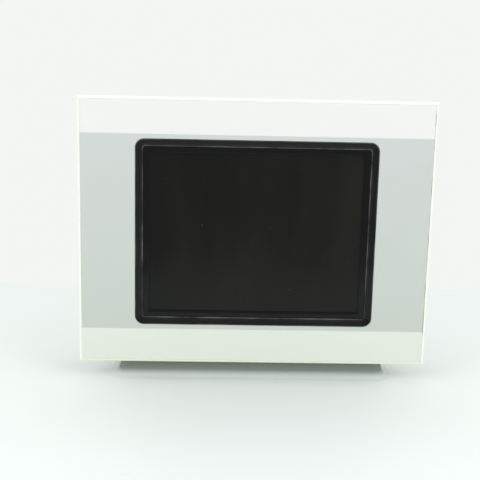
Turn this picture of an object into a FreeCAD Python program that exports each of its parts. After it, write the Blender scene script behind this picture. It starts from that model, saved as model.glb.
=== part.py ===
"""Flush-mounted operator panel with a 10.4 inch touch display, as a bench assembly.

Millimetres.  +X is the operator's right, +Z is up and the front faces -Y.
The origin is the centre of the panel gasket's rear face: the plane y = 0 is the
front skin of the cabinet that the unit is fitted in.  Pieces with y < 0 stand in
front of the cabinet, and pieces with y > 0 are inside it.
"""
import FreeCAD, Part
import math
import os

Vector = FreeCAD.Vector
FRONT_TO_BACK = Vector(0, 1, 0)

# ---- front plate and what is printed on it
PLATE_WIDTH = 350.0
PLATE_HEIGHT = 267.0
PLATE_THICK = 7.0
RIM_ROUND = 2.4
GASKET_PROUD = 0.8
PLATE_BACK = -GASKET_PROUD
PLATE_FRONT = PLATE_BACK - PLATE_THICK
OVERLAY_THICK = 0.5
OVERLAY_GAP = 0.15

# ---- display window: ring, touch glass, display module, from front to back
WINDOW_WIDTH = 238.6
WINDOW_HEIGHT = 187.4
WINDOW_RADIUS = 9.0
OPENING_WIDTH = 211.0
OPENING_HEIGHT = 159.6
OPENING_RADIUS = 2.0
RING_SLOPE = 7.3
RING_CREASE_RADIUS = 2.5
RING_LAND = 0.5
RING_FRONT = PLATE_FRONT + 0.1
RING_CREASE_Y = PLATE_FRONT + 2.2
RING_LIP_Y = PLATE_FRONT + 3.2
RING_FLANGE_Y = PLATE_FRONT + 2.8
RING_BACK = PLATE_FRONT + 4.0
RING_GAP = 0.2
POCKET_WIDTH = 250.0
POCKET_HEIGHT = 199.0
POCKET_RADIUS = 6.0
FOAM_OUTER = (226.0, 174.0, 1.0)
TOUCH_FOAM_INNER = (213.5, 162.0, 1.0)
LCD_FOAM_INNER = (216.0, 164.0, 1.0)
TOUCH_WIDTH = 227.0
TOUCH_HEIGHT = 175.0
TOUCH_FRONT = RING_BACK + 0.5
TOUCH_BACK = TOUCH_FRONT + 2.0
TAIL_THICK = 0.3
TAIL_BEND = 1.2
TAIL_X = (40.0, 56.0)
TAIL_DROP_Z = -95.5
TAIL_END_Z = -84.0
LCD_WIDTH = 243.0
LCD_HEIGHT = 184.0
LCD_FRONT = TOUCH_BACK + 0.8
LCD_DEPTH = 10.0
LCD_BACK = LCD_FRONT + LCD_DEPTH
LCD_SKIN = 0.6
LCD_WINDOW = (215.4, 161.8, 1.0)
CELL_WIDTH = 228.0
CELL_HEIGHT = 172.0
CELL_THICK = 2.2
FILM_THICK = 0.6
LIGHT_GUIDE = (222.0, 162.0, 0.5)
LIGHT_GUIDE_THICK = 5.0
LAYER_GAP = 0.1
LAMP_RADIUS = 1.3
LAMP_Z = 84.2
LAMP_DEPTH = 5.6
LAMP_HALF = 114.0
TRAY_GAP = 0.3
CLIP_THICK = 1.2
CLIP_WALL_X = 122.2
CLIP_FOOT_X = 137.0
CLIP_TAB_X = 112.0
CLIP_HALF = 60.0
LCD_CABLE_X = (20.0, 50.0)
LCD_CABLE_THICK = 0.5
LCD_CABLE_BEND = 1.5
LCD_CABLE_Z = (36.0, 58.0, 44.0)

# ---- fasteners: thread radii and the heads' heights
M3 = 1.5
M4 = 2.0
M3_HEAD = 1.9
M4_HEAD = 2.6
M3_BITE = 4.8
INSERT_RADIUS = 1.2
THREAD_DEPTH = 4.0

# ---- rear housing and cover
HOUSING_WIDTH = 288.0
HOUSING_HEIGHT = 232.0
HOUSING_DEPTH = 58.0
HOUSING_WALL = 2.0
HOUSING_RADIUS = 4.0
COVER_THICK = 1.2
COVER_BACK = HOUSING_DEPTH + COVER_THICK
WALL_X = HOUSING_WIDTH / 2
WALL_Z = HOUSING_HEIGHT / 2
CORNER_SCREW_X = 135.0
CORNER_SCREW_Z = 107.0
CORNER_FOOT = 6.0
CORNER_FOOT_BACK = 2.2
BOSS_RADIUS = 4.0
BOSS_DEPTH = 14.0
BOSS_DRILL = 11.0
WALL_GAP = 0.4
TOP_SLOTS = (20, -80.75, 8.5, 3.0)
TOP_SLOT_Y = (16.0, 38.0)
FLOOR_SLOTS = (8, 5.2, 2.6)
FLOOR_SLOT_STARTS = (-75.0, 34.0)
FLOOR_SLOT_Y = (42.0, 54.0)
COVER_SLOTS = (13, 2.0, 9.0, 3.0)
COVER_SLOT_ROWS = (72.0, 38.0)
COVER_SLOT_HIGH = 26.0
COVER_SCREWS = [(-136, -80), (-136, 80), (136, -80), (136, 84), (0, -109), (0, 109)]

# ---- swing clamps, one in each notch of the housing
CLAMP_X = 108.0
NOTCH_WIDTH = 28.0
NOTCH_DEPTH = 13.0
CLAMP_AXIS_INSET = 9.0
CLAMP_AXIS_DEPTH = 7.0
SCREW_RADIUS = 2.0
RUNNING_FIT = 0.08
WEB_FRONT = (5.0, 7.0)
WEB_REAR = (44.0, 47.0)
WEB_END = -3.0
PAWL_REACH = 21.0
PAWL_HALF = 4.0
PAWL_HUB = (20.0, 26.0)
PAWL_FOOT_Y = 12.0
PAWL_FOOT_LONG = 8.0
PAWL_ROUND = 1.5
CLAMP_TIP_Y = 2.6
CLAMP_COLLAR = (3.0, 3.4)
CLAMP_HEAD_RADIUS = 3.8
CLAMP_HEAD_HIGH = 3.3
CLAMP_SLOT = (5.0, 1.0, 1.8)
CLAMP_PLAY = 0.3

# ---- chassis plate and circuit boards
CHASSIS_FRONT = 13.0
CHASSIS_BACK = 14.2
CHASSIS_WIDTH = 272.0
CHASSIS_HEIGHT = 186.0
STANDOFF_X = 131.0
STANDOFF_Z = 84.0
BOARD_FRONT = 22.0
BOARD_BACK = 23.6
BOARD_HALF_WIDTH = 90.0
BOARD_TOP = 86.0
BOARD_BOTTOM = -104.0
BOARD_ARM_END = 136.0
BOARD_ARM = (8.0, 86.0)
BOARD_STANDOFFS = [(-84, -88), (84, -88), (-84, 78), (84, 78), (129, 15)]
INVERTER_FRONT = 18.0
INVERTER_X = (-132.0, -98.0)
INVERTER_HALF = 62.0
BOARD_THICK = BOARD_BACK - BOARD_FRONT
CABLE_WINDOW_X = (17.0, 53.0)
CABLE_WINDOW_Z = (53.0, 63.0)
STANDOFF_FLATS = 7.0
BOARD_POST_FLATS = 5.5
NYLON_RADIUS = 2.5
PROCESSOR = (-25.0, 30.0, 31.0, 31.0, 2.4)
SINK_SIDE = 42.0
SINK_BASE = 3.0
SINK_HIGH = 13.0
FIN_COUNT = 9
FIN_PITCH = 4.75
FIN_THICK = 1.6
MEMORY_X = 45.0
MEMORY_STICK = (67.6, 40.0, 30.0, 3.2)
MEMORY_THICK = 1.2
MEMORY_CHIPS = (4, 22.0, 15.3, 11.0, 42.0, 18.0)
MEMORY_SOCKET = (22.6, 74.0, 6.0, 6.0)
BUZZER = (-66.0, 4.0, 6.0, 7.5)

# blocks on the main board: x, z, width, height, thickness
CHIPS = [
    (-25.0, -28.0, 24.0, 24.0, 2.0),
    (20.0, -20.0, 28.0, 20.0, 2.0),
    (60.0, -22.0, 20.0, 14.0, 2.0),
    (-70.0, -30.0, 14.0, 10.0, 2.0),
    (14.0, -62.0, 18.0, 12.0, 2.4),
    (-46.0, -68.0, 26.0, 9.0, 2.4),
    (-76.0, 30.0, 8.0, 34.0, 8.5),
    (62.0, -62.0, 12.0, 12.0, 6.0),
]
# rows of capacitors on the main board: count, first x, pitch, z, radius, height
CAPACITORS = [
    (3, -80.0, 13.0, -56.0, 5.0, 13.0),
    (4, 40.0, 9.0, -48.0, 3.2, 7.0),
    (2, -60.0, 10.0, 68.0, 4.0, 9.0),
]
# blocks on the inverter board: x, z, width, height, thickness
INVERTER_BLOCKS = [
    (-115.0, 14.0, 22.0, 34.0, 9.0),
    (-115.0, 46.0, 12.0, 8.0, 6.0),
    (-115.0, -46.0, 14.0, 7.0, 6.0),
]
INVERTER_COILS = (2, -122.0, 14.0, -20.0, 5.0, 12.0)

# ---- sockets and switches in the bottom wall, all facing down
MOUTH_Z = -WALL_Z - 0.5
POWER_X = -78.0
POWER_SIZE = (20.0, 11.0, 14.0)
POWER_WALL = 1.2
POWER_MOUTH = 10.0
POLE_PITCH = 5.08
PIN_RADIUS = 0.55
PLUG_NECK_HALF = 3.9
PLUG_HEAD_Y = (-5.5, 6.5)
PLUG_HEAD_Z = (-9.5, -0.4)
PLUG_BORE = 0.75
WIRE_ENTRY_HALF = 1.6
WIRE_ENTRY_Y = (-4.2, -0.8)
TERMINAL_Z = -4.6
TERMINAL_SEAT = 3.5
TERMINAL_SCREW = (1.5, 2.4, 0.6)
SERIAL_X = (-46.0, -11.0)
SERIAL_FLANGE = (31.0, 12.6)
SERIAL_Y = BOARD_BACK + 6.6
SERIAL_SCREW_PITCH = 25.0
SERIAL_SHELL = (16.9, 8.3, 5.8)
SERIAL_SHELL_ROUND = 1.6
SERIAL_SHELL_LEAN = 10.0
SERIAL_BODY_HALF = 10.0
SERIAL_BODY_DEEP = 12.0
SERIAL_WINDOW_DEEP = 13.2
CONTACT_PITCH = 2.77
CONTACT_ROW = 1.42
CONTACT_RADIUS = 0.6
JACK_FLATS = 4.8
JACK_LONG = 5.0
JACK_THREAD_RADIUS = 1.25
ETHERNET_X = 15.0
ETHERNET_SIZE = (16.0, 13.5, 21.0)
ETHERNET_CAVITY = (5.9, 1.6, 9.6, 13.0)
ETHERNET_LATCH = (3.0, 9.5, 12.0, 7.0)
USB_X = 34.0
USB_SIZE = (13.2, 15.6, 17.0)
USB_PORTS = (1.2, 9.1)
USB_PORT = (6.1, 5.2, 11.0)
USB_TONGUE = (5.4, 2.9, 4.6)
DIAL_X = (50.0, 62.5)
DIAL_Y = BOARD_BACK + 6.0
DIAL_RADIUS = 3.2
DIAL_FACE = 0.4
DIAL_SLOT = (0.45, 2.4, 1.0)
DIAL_ARROW = (1.2, 1.0, 2.7)
STEM_RADIUS = 1.5
SWITCH_HALF = 5.0
SWITCH_DEEP = (11.0, 9.0)
RESET_BODY = (3.2, 9.2, 7.0)
RESET_WINDOW = 2.2
SLIDER_BODY = (5.2, 9.0, 7.0)
SLIDER_GROOVE = (2.3, 1.3, 3.0)
SLIDER_WINDOW = (3.4, 1.7)
SLIDER_FOOT_HALF = 1.1
SLIDER_THUMB_HALF = 0.9
RESET_X = 73.0
SLIDER_X = 83.0
SLIDER_TRAVEL = 2.0

# ---- memory card, in the right-hand wall
CARD_SLOT_X = (98.0, 140.0)
CARD_SLOT_Z = (26.0, 74.0)
CARD_SLOT_HIGH = 6.0
CARD_LONG = 36.4
CARD_WIDE = 42.8
CARD_THICK = 3.3
CARD_EDGE_X = WALL_X - 1.0
CARD_GAP = 0.3
EJECT_Z = 77.5
EJECT_HALF = 1.5
EJECT_OUT_X = WALL_X + 5.0
EJECT_INNER = 12.0
EJECT_ROUND = 0.6
EJECTOR_BAR = (3.0, 1.4, 20.0)
CARD_SLOT_WALL = 3.0
CARD_SLOT_RIM = 3.5
CARD_WINDOW_HALF = 2.3
CARD_WINDOW_INSET = 2.0
CARD_GRIP = (4.0, 2.6, 0.4)

# ---- battery door in the rear cover
DOOR_X = -60.0
DOOR_Z = 46.0
DOOR_WIDTH = 44.0
DOOR_HEIGHT = 26.0
DOOR_GAP = 0.3
DOOR_HINGE_Y = COVER_BACK + 1.4
HINGE_BARREL = 1.1
HINGE_PIN = 0.5
HINGE_SPAN = 8.0
HINGE_CENTRES = (DOOR_Z - 8.0, DOOR_Z + 8.0)
HINGE_WEB = (0.5, 2.6, 0.4)
HINGE_PLAY = 0.15
DOOR_NOTCH = 5.0
TRAY_FLOOR = (9.5, 8.0)
TRAY_RIM = 5.0
TRAY_WALL = 2.0
TRAY_RIB_X = 12.0
TRAY_RIB_HALF = 12.5
BATTERY_RADIUS = 7.2
BATTERY_LONG = 33.0
BATTERY_Y = 49.5
BATTERY_CAP = 3.0
BATTERY_CAP_LONG = 1.0

# ---- earth stud
EARTH_X = -118.0
EARTH_Z = -84.0
EARTH_RADIUS = 2.0
EARTH_SHANK = 2.4
EARTH_STEP = COVER_BACK + 4.0
EARTH_END = EARTH_STEP + 10.0
EARTH_HEAD = (4.0, 1.5)
EARTH_WASHER = (4.2, 0.8)
EARTH_FLATS = 8.0
LABEL_SIZE = (78.0, 42.0, 2.0)
LABEL_THICK = 0.25
LABEL_PLACE = (62.0, -46.0)

# ---- sizes that follow from those above
OVERLAY_WIDTH = PLATE_WIDTH - 2 * RIM_ROUND
OVERLAY_HEIGHT = PLATE_HEIGHT - 2 * RIM_ROUND
OVERLAY_RADIUS = 0.6
OVERLAY_BACK = PLATE_FRONT + OVERLAY_THICK
GASKET_OUTER = (PLATE_WIDTH - 10.0, PLATE_HEIGHT - 10.0, 6.0)
GASKET_BAND = 8.0
GASKET_GROOVE = PLATE_BACK - 1.2
SWITCH_FACE = -WALL_Z + HOUSING_WALL + 0.6
BRACKET_SCREWS = [(x, z) for x in (-130.5, 130.5) for z in (-50.0, 50.0)]
STANDOFFS = [(x, z) for x in (-STANDOFF_X, STANDOFF_X) for z in (-STANDOFF_Z, STANDOFF_Z)]
CORNERS = [(-1, -1), (-1, 1), (1, -1), (1, 1)]
CORNER_SCREWS = [(x * CORNER_SCREW_X, z * CORNER_SCREW_Z) for x, z in CORNERS]


# ---------------------------------------------------------------- plain shapes

def block(x_range, y_range, z_range):
    """Rectangular block between three pairs of limits."""
    low = Vector(x_range[0], y_range[0], z_range[0])
    sizes = [r[1] - r[0] for r in (x_range, y_range, z_range)]
    return Part.makeBox(sizes[0], sizes[1], sizes[2], low)


def centred(x, width, y_range, z, height):
    """Block centred on x and z."""
    return block((x - width / 2, x + width / 2), y_range, (z - height / 2, z + height / 2))


def round_wire(width, height, radius, y):
    """Rectangle with round corners in the plane y, as lines and arcs."""
    half_w = width / 2 - radius
    half_h = height / 2 - radius
    edges = []
    corners = [(half_w, half_h, 0), (-half_w, half_h, 90), (-half_w, -half_h, 180), (half_w, -half_h, 270)]
    spots = []
    for cx, cz, start in corners:
        for turn in (0, 45, 90):
            angle = math.radians(start + turn)
            spots.append(Vector(cx + radius * math.cos(angle), y, cz + radius * math.sin(angle)))
    for corner in range(4):
        first, middle, last = spots[3 * corner:3 * corner + 3]
        after = spots[(3 * corner + 3) % 12]
        edges.append(Part.Arc(first, middle, last).toShape())
        edges.append(Part.LineSegment(last, after).toShape())
    return Part.Wire(edges)


def round_prism(width, height, radius, y_range):
    """Prism of a round-cornered rectangle between two values of y."""
    face = Part.Face(round_wire(width, height, radius, y_range[0]))
    return face.extrude(FRONT_TO_BACK * (y_range[1] - y_range[0]))


def funnel(front, back):
    """Tapered plug between two round-cornered rectangles (width, height, radius, y)."""
    return Part.makeLoft([round_wire(*front), round_wire(*back)], True, True)


def frame_ring(outer, inner, y_range):
    """Flat picture frame between two round-cornered rectangles (width, height, radius)."""
    return round_prism(*outer, y_range).cut(round_prism(*inner, y_range))


def rod(x, z, radius, y_range):
    """Round rod along Y."""
    return Part.makeCylinder(radius, y_range[1] - y_range[0], Vector(x, y_range[0], z), FRONT_TO_BACK)


def rod_up(x, y, radius, z_range):
    """Round rod along Z."""
    return Part.makeCylinder(radius, z_range[1] - z_range[0], Vector(x, y, z_range[0]))


def rod_across(y, z, radius, x_range):
    """Round rod along X."""
    return Part.makeCylinder(radius, x_range[1] - x_range[0], Vector(x_range[0], y, z), Vector(1, 0, 0))


def hexagon(x, z, across_flats, y_range):
    """Hexagonal rod along Y."""
    reach = across_flats / math.sqrt(3)
    spots = []
    for corner in range(7):
        angle = math.radians(60 * corner)
        spots.append(Vector(x + reach * math.cos(angle), y_range[0], z + reach * math.sin(angle)))
    return Part.Face(Part.makePolygon(spots)).extrude(FRONT_TO_BACK * (y_range[1] - y_range[0]))


def all_of(pieces):
    """One shape from several that touch."""
    whole = pieces[0]
    for piece in pieces[1:]:
        whole = whole.fuse(piece)
    return whole.removeSplitter()


def drilled(shape, tools):
    """The shape less every tool."""
    for tool in tools:
        shape = shape.cut(tool)
    return shape


def pan_screw(x, z, radius, tip, seat, head):
    """Pan-head screw along Y with a cross slot: tip in front, head behind its seat."""
    crown = rod(x, z, radius * 1.9, (seat, seat + head))
    crown = crown.makeFillet(head * 0.4, [crown.Edges[0]])
    body = crown.fuse(rod(x, z, radius, (tip, seat)))
    slot = (seat + head * 0.45, seat + head + 1)
    wide = radius * 2.1
    thin = radius * 0.4
    return drilled(body, [centred(x, wide, slot, z, thin), centred(x, thin, slot, z, wide)])


def ribbon(route, bend, thick, x_range):
    """Flat cable: a strip along a (y, z) route of square turns, with arcs at the turns."""
    spots = [Vector(x_range[0], y, z) for y, z in route]
    sides = []
    for side in (-thick / 2, thick / 2):
        edges = []
        last_point = None
        for index, spot in enumerate(spots):
            before = spots[max(index - 1, 0)]
            after = spots[min(index + 1, len(spots) - 1)]
            heading_in = (spot - before).normalize() if index else (after - spot).normalize()
            heading_out = (after - spot).normalize() if index < len(spots) - 1 else heading_in
            normal_in = Vector(0, -heading_in.z, heading_in.y) * side
            normal_out = Vector(0, -heading_out.z, heading_out.y) * side
            if 0 < index < len(spots) - 1:
                centre = spot + (heading_out - heading_in) * bend
                arc_in = spot - heading_in * bend + normal_in
                arc_out = spot + heading_out * bend + normal_out
                radius = (arc_in - centre).Length
                middle = centre + ((arc_in - centre) + (arc_out - centre)).normalize() * radius
                edges.append(Part.LineSegment(last_point, arc_in).toShape())
                edges.append(Part.Arc(arc_in, middle, arc_out).toShape())
                last_point = arc_out
            elif index:
                edges.append(Part.LineSegment(last_point, spot + normal_in).toShape())
                last_point = spot + normal_in
            else:
                last_point = spot + normal_out
        sides.append(edges)
    start = Part.LineSegment(sides[0][0].firstVertex().Point, sides[1][0].firstVertex().Point).toShape()
    end = Part.LineSegment(sides[0][-1].lastVertex().Point, sides[1][-1].lastVertex().Point).toShape()
    outline = Part.Wire(Part.__sortEdges__(sides[0] + sides[1] + [start, end]))
    return Part.Face(outline).extrude(Vector(x_range[1] - x_range[0], 0, 0))


# ---------------------------------------------------------------- front of the unit

def rounded_slab(width, height):
    """Plate whose four front edges are rounded over and meet in mitred corners."""
    def profile(half, along):
        """Half-section across the plate with both front corners round."""
        def spot(offset, y):
            return Vector(offset, y, 0) if along == "z" else Vector(0, y, offset)
        step = RIM_ROUND * (1 - math.sqrt(0.5))
        inner = half - RIM_ROUND
        low = PLATE_FRONT + RIM_ROUND
        mid = PLATE_FRONT + step
        edges = [
            Part.LineSegment(spot(-half, PLATE_BACK), spot(half, PLATE_BACK)).toShape(),
            Part.LineSegment(spot(half, PLATE_BACK), spot(half, low)).toShape(),
            Part.Arc(spot(half, low), spot(half - step, mid), spot(inner, PLATE_FRONT)).toShape(),
            Part.LineSegment(spot(inner, PLATE_FRONT), spot(-inner, PLATE_FRONT)).toShape(),
            Part.Arc(spot(-inner, PLATE_FRONT), spot(step - half, mid), spot(-half, low)).toShape(),
            Part.LineSegment(spot(-half, low), spot(-half, PLATE_BACK)).toShape(),
        ]
        return Part.Face(Part.Wire(edges))
    across = profile(width / 2, "z")
    across.translate(Vector(0, 0, -height / 2))
    upright = profile(height / 2, "x")
    upright.translate(Vector(-width / 2, 0, 0))
    return across.extrude(Vector(0, 0, height)).common(upright.extrude(Vector(width, 0, 0)))


def panel_gasket():
    """Sealing frame pressed into a groove of its own shape in the back of the plate."""
    width, height, radius = GASKET_OUTER
    inner = (width - 2 * GASKET_BAND, height - 2 * GASKET_BAND, radius - GASKET_BAND / 4)
    return frame_ring(GASKET_OUTER, inner, (GASKET_GROOVE, 0.0))


def front_plate():
    """Cast front plate with the window, the overlay's recess and the pocket for the ring."""
    threads = (PLATE_BACK - THREAD_DEPTH, PLATE_BACK)
    tools = [
        round_prism(OVERLAY_WIDTH, OVERLAY_HEIGHT, OVERLAY_RADIUS, (PLATE_FRONT - 1, OVERLAY_BACK)),
        round_prism(WINDOW_WIDTH, WINDOW_HEIGHT, WINDOW_RADIUS, (PLATE_FRONT - 1, PLATE_BACK + 1)),
        round_prism(POCKET_WIDTH, POCKET_HEIGHT, POCKET_RADIUS, (RING_FLANGE_Y, PLATE_BACK + 1)),
        panel_gasket(),
    ]
    tools += [rod(x, z, M3, threads) for x, z in BRACKET_SCREWS + STANDOFFS]
    tools += [rod(x, z, M4, threads) for x, z in CORNER_SCREWS]
    return drilled(rounded_slab(PLATE_WIDTH, PLATE_HEIGHT), tools)


def front_overlay():
    """Printed polyester sheet laid in the plate's recess, with the window cut out."""
    outer = (OVERLAY_WIDTH - 2 * OVERLAY_GAP, OVERLAY_HEIGHT - 2 * OVERLAY_GAP, OVERLAY_RADIUS)
    inner = (WINDOW_WIDTH, WINDOW_HEIGHT, WINDOW_RADIUS)
    return frame_ring(outer, inner, (PLATE_FRONT, OVERLAY_BACK))


def display_frame():
    """Black moulded ring: a slope down to a crease, a short step, then a flat border."""
    width = WINDOW_WIDTH - 2 * RING_GAP
    height = WINDOW_HEIGHT - 2 * RING_GAP
    nose = round_prism(width, height, WINDOW_RADIUS - RING_GAP, (RING_FRONT, RING_BACK))
    wing = (POCKET_WIDTH - 2 * RING_GAP, POCKET_HEIGHT - 2 * RING_GAP, POCKET_RADIUS - RING_GAP)
    flange = round_prism(*wing, (RING_FLANGE_Y, RING_BACK))
    brow = (width - 2 * RING_LAND, height - 2 * RING_LAND, WINDOW_RADIUS - RING_GAP - RING_LAND)
    crease = (width - 2 * RING_SLOPE, height - 2 * RING_SLOPE, RING_CREASE_RADIUS)
    slope = funnel((*brow, RING_FRONT), (*crease, RING_CREASE_Y))
    step = round_prism(*crease, (RING_CREASE_Y, RING_LIP_Y))
    hole = round_prism(OPENING_WIDTH, OPENING_HEIGHT, OPENING_RADIUS, (RING_LIP_Y, RING_BACK))
    return drilled(nose.fuse(flange), [slope, step, hole]).removeSplitter()


def touch_gasket():
    """Foam frame between the ring and the touch glass."""
    return frame_ring(FOAM_OUTER, TOUCH_FOAM_INNER, (RING_BACK, TOUCH_FRONT))


def touch_sensor():
    """Resistive touch glass."""
    return round_prism(TOUCH_WIDTH, TOUCH_HEIGHT, 1.0, (TOUCH_FRONT, TOUCH_BACK))


def touch_tail():
    """Flexible tail from the glass's lower edge to the main board."""
    top = -TOUCH_HEIGHT / 2
    y_start = TOUCH_BACK - 0.6
    y_end = BOARD_FRONT - 1.4
    route = [(y_start, top), (y_start, TAIL_DROP_Z), (y_end, TAIL_DROP_Z), (y_end, TAIL_END_Z)]
    return ribbon(route, TAIL_BEND, TAIL_THICK, TAIL_X)


def display_pieces():
    """The 10.4 inch display module, as its own separate layers."""
    inside = LCD_FRONT + LCD_SKIN
    can = round_prism(LCD_WIDTH, LCD_HEIGHT, 1.5, (LCD_FRONT, LCD_BACK))
    cavity = round_prism(LCD_WIDTH - 2 * LCD_SKIN, LCD_HEIGHT - 2 * LCD_SKIN, 1.0, (inside, LCD_BACK))
    window = round_prism(*LCD_WINDOW, (LCD_FRONT, inside))
    lamp_y = inside + LAMP_DEPTH
    lamps = [rod_across(lamp_y, z, LAMP_RADIUS, (-LAMP_HALF, LAMP_HALF)) for z in (-LAMP_Z, LAMP_Z)]
    less = 2 * (LCD_SKIN + TRAY_GAP)
    cell_back = inside + CELL_THICK
    film_back = cell_back + LAYER_GAP + FILM_THICK
    guide_back = film_back + LAYER_GAP + LIGHT_GUIDE_THICK
    tray = (guide_back + LAYER_GAP, LCD_BACK)
    return {
        "lcd_gasket": frame_ring(FOAM_OUTER, LCD_FOAM_INNER, (TOUCH_BACK, LCD_FRONT)),
        "lcd_front_frame": drilled(can, [cavity, window]),
        "lcd_glass": round_prism(CELL_WIDTH, CELL_HEIGHT, 0.5, (inside, cell_back)),
        "lcd_diffuser": round_prism(CELL_WIDTH, CELL_HEIGHT, 0.5, (cell_back + LAYER_GAP, film_back)),
        "lcd_light_guide": round_prism(*LIGHT_GUIDE, (film_back + LAYER_GAP, guide_back)),
        "lcd_lamps": Part.makeCompound(lamps),
        "lcd_rear_tray": round_prism(LCD_WIDTH - less, LCD_HEIGHT - less, 1.0, tray),
    }


def lcd_brackets():
    """Two folded steel clips that hold the display module against the glass."""
    clips = []
    span = (-CLIP_HALF, CLIP_HALF)
    wall_out = CLIP_WALL_X + CLIP_THICK
    for side in (-1, 1):
        foot = sorted((side * CLIP_WALL_X, side * CLIP_FOOT_X))
        wall = sorted((side * CLIP_WALL_X, side * wall_out))
        tab = sorted((side * CLIP_TAB_X, side * wall_out))
        clip = all_of([
            block(foot, (PLATE_BACK, PLATE_BACK + CLIP_THICK), span),
            block(wall, (PLATE_BACK, LCD_BACK + CLIP_THICK), span),
            block(tab, (LCD_BACK, LCD_BACK + CLIP_THICK), span),
        ])
        holes = [rod(x, z, M3, (PLATE_BACK, 1.0)) for x, z in BRACKET_SCREWS if x * side > 0]
        clips.append(drilled(clip, holes))
    return Part.makeCompound(clips)


# ---------------------------------------------------------------- housing, cover and clamps

def clamp_places():
    """Centre of each notch and the turn about Y that takes the top notch there."""
    return [(-CLAMP_X, 1), (CLAMP_X, 1), (CLAMP_X, -1), (-CLAMP_X, -1)]


def at_clamp(shape, place):
    """Copy of a shape drawn for a top notch at x = 0, carried to the clamp's place."""
    x, up = place
    moved = shape.copy()
    if up < 0:
        moved.rotate(Vector(0, 0, 0), FRONT_TO_BACK, 180)
    moved.translate(Vector(x, 0, 0))
    return moved


def clamp_axis(place):
    """x and z of a clamp screw."""
    x, up = place
    return x - up * CLAMP_AXIS_INSET, up * (WALL_Z - CLAMP_AXIS_DEPTH)


def housing_outline(inset, y_range):
    """The housing's block, shrunk by inset, with its four clamp notches."""
    width = HOUSING_WIDTH - 2 * inset
    height = HOUSING_HEIGHT - 2 * inset
    shape = round_prism(width, height, HOUSING_RADIUS - inset / 2, y_range)
    notch = block(
        (-NOTCH_WIDTH / 2 - inset, NOTCH_WIDTH / 2 + inset),
        (y_range[0] - 1, y_range[1] + 1),
        (WALL_Z - NOTCH_DEPTH - inset, WALL_Z + 10),
    )
    return drilled(shape, [at_clamp(notch, place) for place in clamp_places()])


def wall_windows():
    """Everything cut through the housing's walls for sockets, switches, the card and air."""
    floor = (-WALL_Z - 1, -WALL_Z + HOUSING_WALL + 0.5)
    side = (WALL_X - HOUSING_WALL - 0.5, WALL_X + 1)
    roof = (WALL_Z - HOUSING_WALL - 1, WALL_Z + 1)
    sockets = [(POWER_X, POWER_SIZE[0], POWER_SIZE[1])]
    sockets.append((ETHERNET_X, ETHERNET_SIZE[0], ETHERNET_SIZE[1]))
    sockets.append((USB_X, USB_SIZE[0], USB_SIZE[1]))
    sockets += [(x, SERIAL_FLANGE[0], SERIAL_WINDOW_DEEP) for x in SERIAL_X]
    cuts = []
    for x, wide, deep in sockets:
        half = wide / 2 + WALL_GAP
        cuts.append(block((x - half, x + half), (BOARD_BACK - WALL_GAP, BOARD_BACK + deep + WALL_GAP), floor))
    cuts += [rod_up(x, DIAL_Y, DIAL_RADIUS + WALL_GAP, floor) for x in DIAL_X]
    cuts.append(rod_up(RESET_X, DIAL_Y, RESET_WINDOW, floor))
    half, deep = SLIDER_WINDOW
    cuts.append(block((SLIDER_X - half, SLIDER_X + half), (DIAL_Y - deep, DIAL_Y + deep), floor))
    y = card_middle()
    z_range = (CARD_SLOT_Z[0] + CARD_WINDOW_INSET, CARD_SLOT_Z[1] - CARD_WINDOW_INSET)
    cuts.append(block(side, (y - CARD_WINDOW_HALF, y + CARD_WINDOW_HALF), z_range))
    half = EJECT_HALF + WALL_GAP
    cuts.append(block(side, (y - half, y + half), (EJECT_Z - half, EJECT_Z + half)))
    count, first, pitch, wide = TOP_SLOTS
    starts = [first + pitch * index - wide / 2 for index in range(count)]
    cuts += [block((x, x + wide), TOP_SLOT_Y, roof) for x in starts]
    count, pitch, wide = FLOOR_SLOTS
    starts = [first + pitch * index - wide / 2 for first in FLOOR_SLOT_STARTS for index in range(count)]
    cuts += [block((x, x + wide), FLOOR_SLOT_Y, floor) for x in starts]
    return cuts


def rear_housing():
    """Cast box without a back: notched walls, clamp webs, corner feet and cover bosses."""
    shell = housing_outline(0.0, (PLATE_BACK, HOUSING_DEPTH))
    shell = shell.cut(housing_outline(HOUSING_WALL, (PLATE_BACK - 1, HOUSING_DEPTH + 1)))
    shell = drilled(shell, wall_windows())
    added = []
    for place in clamp_places():
        for web in (WEB_FRONT, WEB_REAR):
            across = (-NOTCH_WIDTH / 2 - 0.5, WEB_END)
            added.append(at_clamp(block(across, web, (WALL_Z - NOTCH_DEPTH - 0.5, WALL_Z - 1.0)), place))
    for x, z in CORNER_SCREWS:
        x_range = sorted((x - math.copysign(CORNER_FOOT, x), math.copysign(WALL_X - 1.0, x)))
        z_range = sorted((z - math.copysign(CORNER_FOOT, z), math.copysign(WALL_Z - 1.0, z)))
        added.append(block(x_range, (PLATE_BACK, CORNER_FOOT_BACK), z_range))
    boss = (HOUSING_DEPTH - BOSS_DEPTH, HOUSING_DEPTH)
    for x, z in COVER_SCREWS:
        added.append(rod(x, z, BOSS_RADIUS, boss))
        if x:
            reach_x = sorted((x, math.copysign(WALL_X - 1.0, x)))
            reach_z = (z - BOSS_RADIUS, z + BOSS_RADIUS)
        else:
            reach_x = (-BOSS_RADIUS, BOSS_RADIUS)
            reach_z = sorted((z, math.copysign(WALL_Z - 1.0, z)))
        added.append(block(reach_x, boss, reach_z))
    shell = all_of([shell] + added)
    holes = [rod(x, z, M4, (PLATE_BACK - 1, CORNER_FOOT_BACK + 1)) for x, z in CORNER_SCREWS]
    holes += [rod(x, z, M3, (HOUSING_DEPTH - BOSS_DRILL, HOUSING_DEPTH + 1)) for x, z in COVER_SCREWS]
    for place in clamp_places():
        x, z = clamp_axis(place)
        holes.append(rod(x, z, SCREW_RADIUS + RUNNING_FIT, (WEB_FRONT[0] - 1, WEB_REAR[1] + 1)))
    return drilled(shell, holes)


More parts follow.
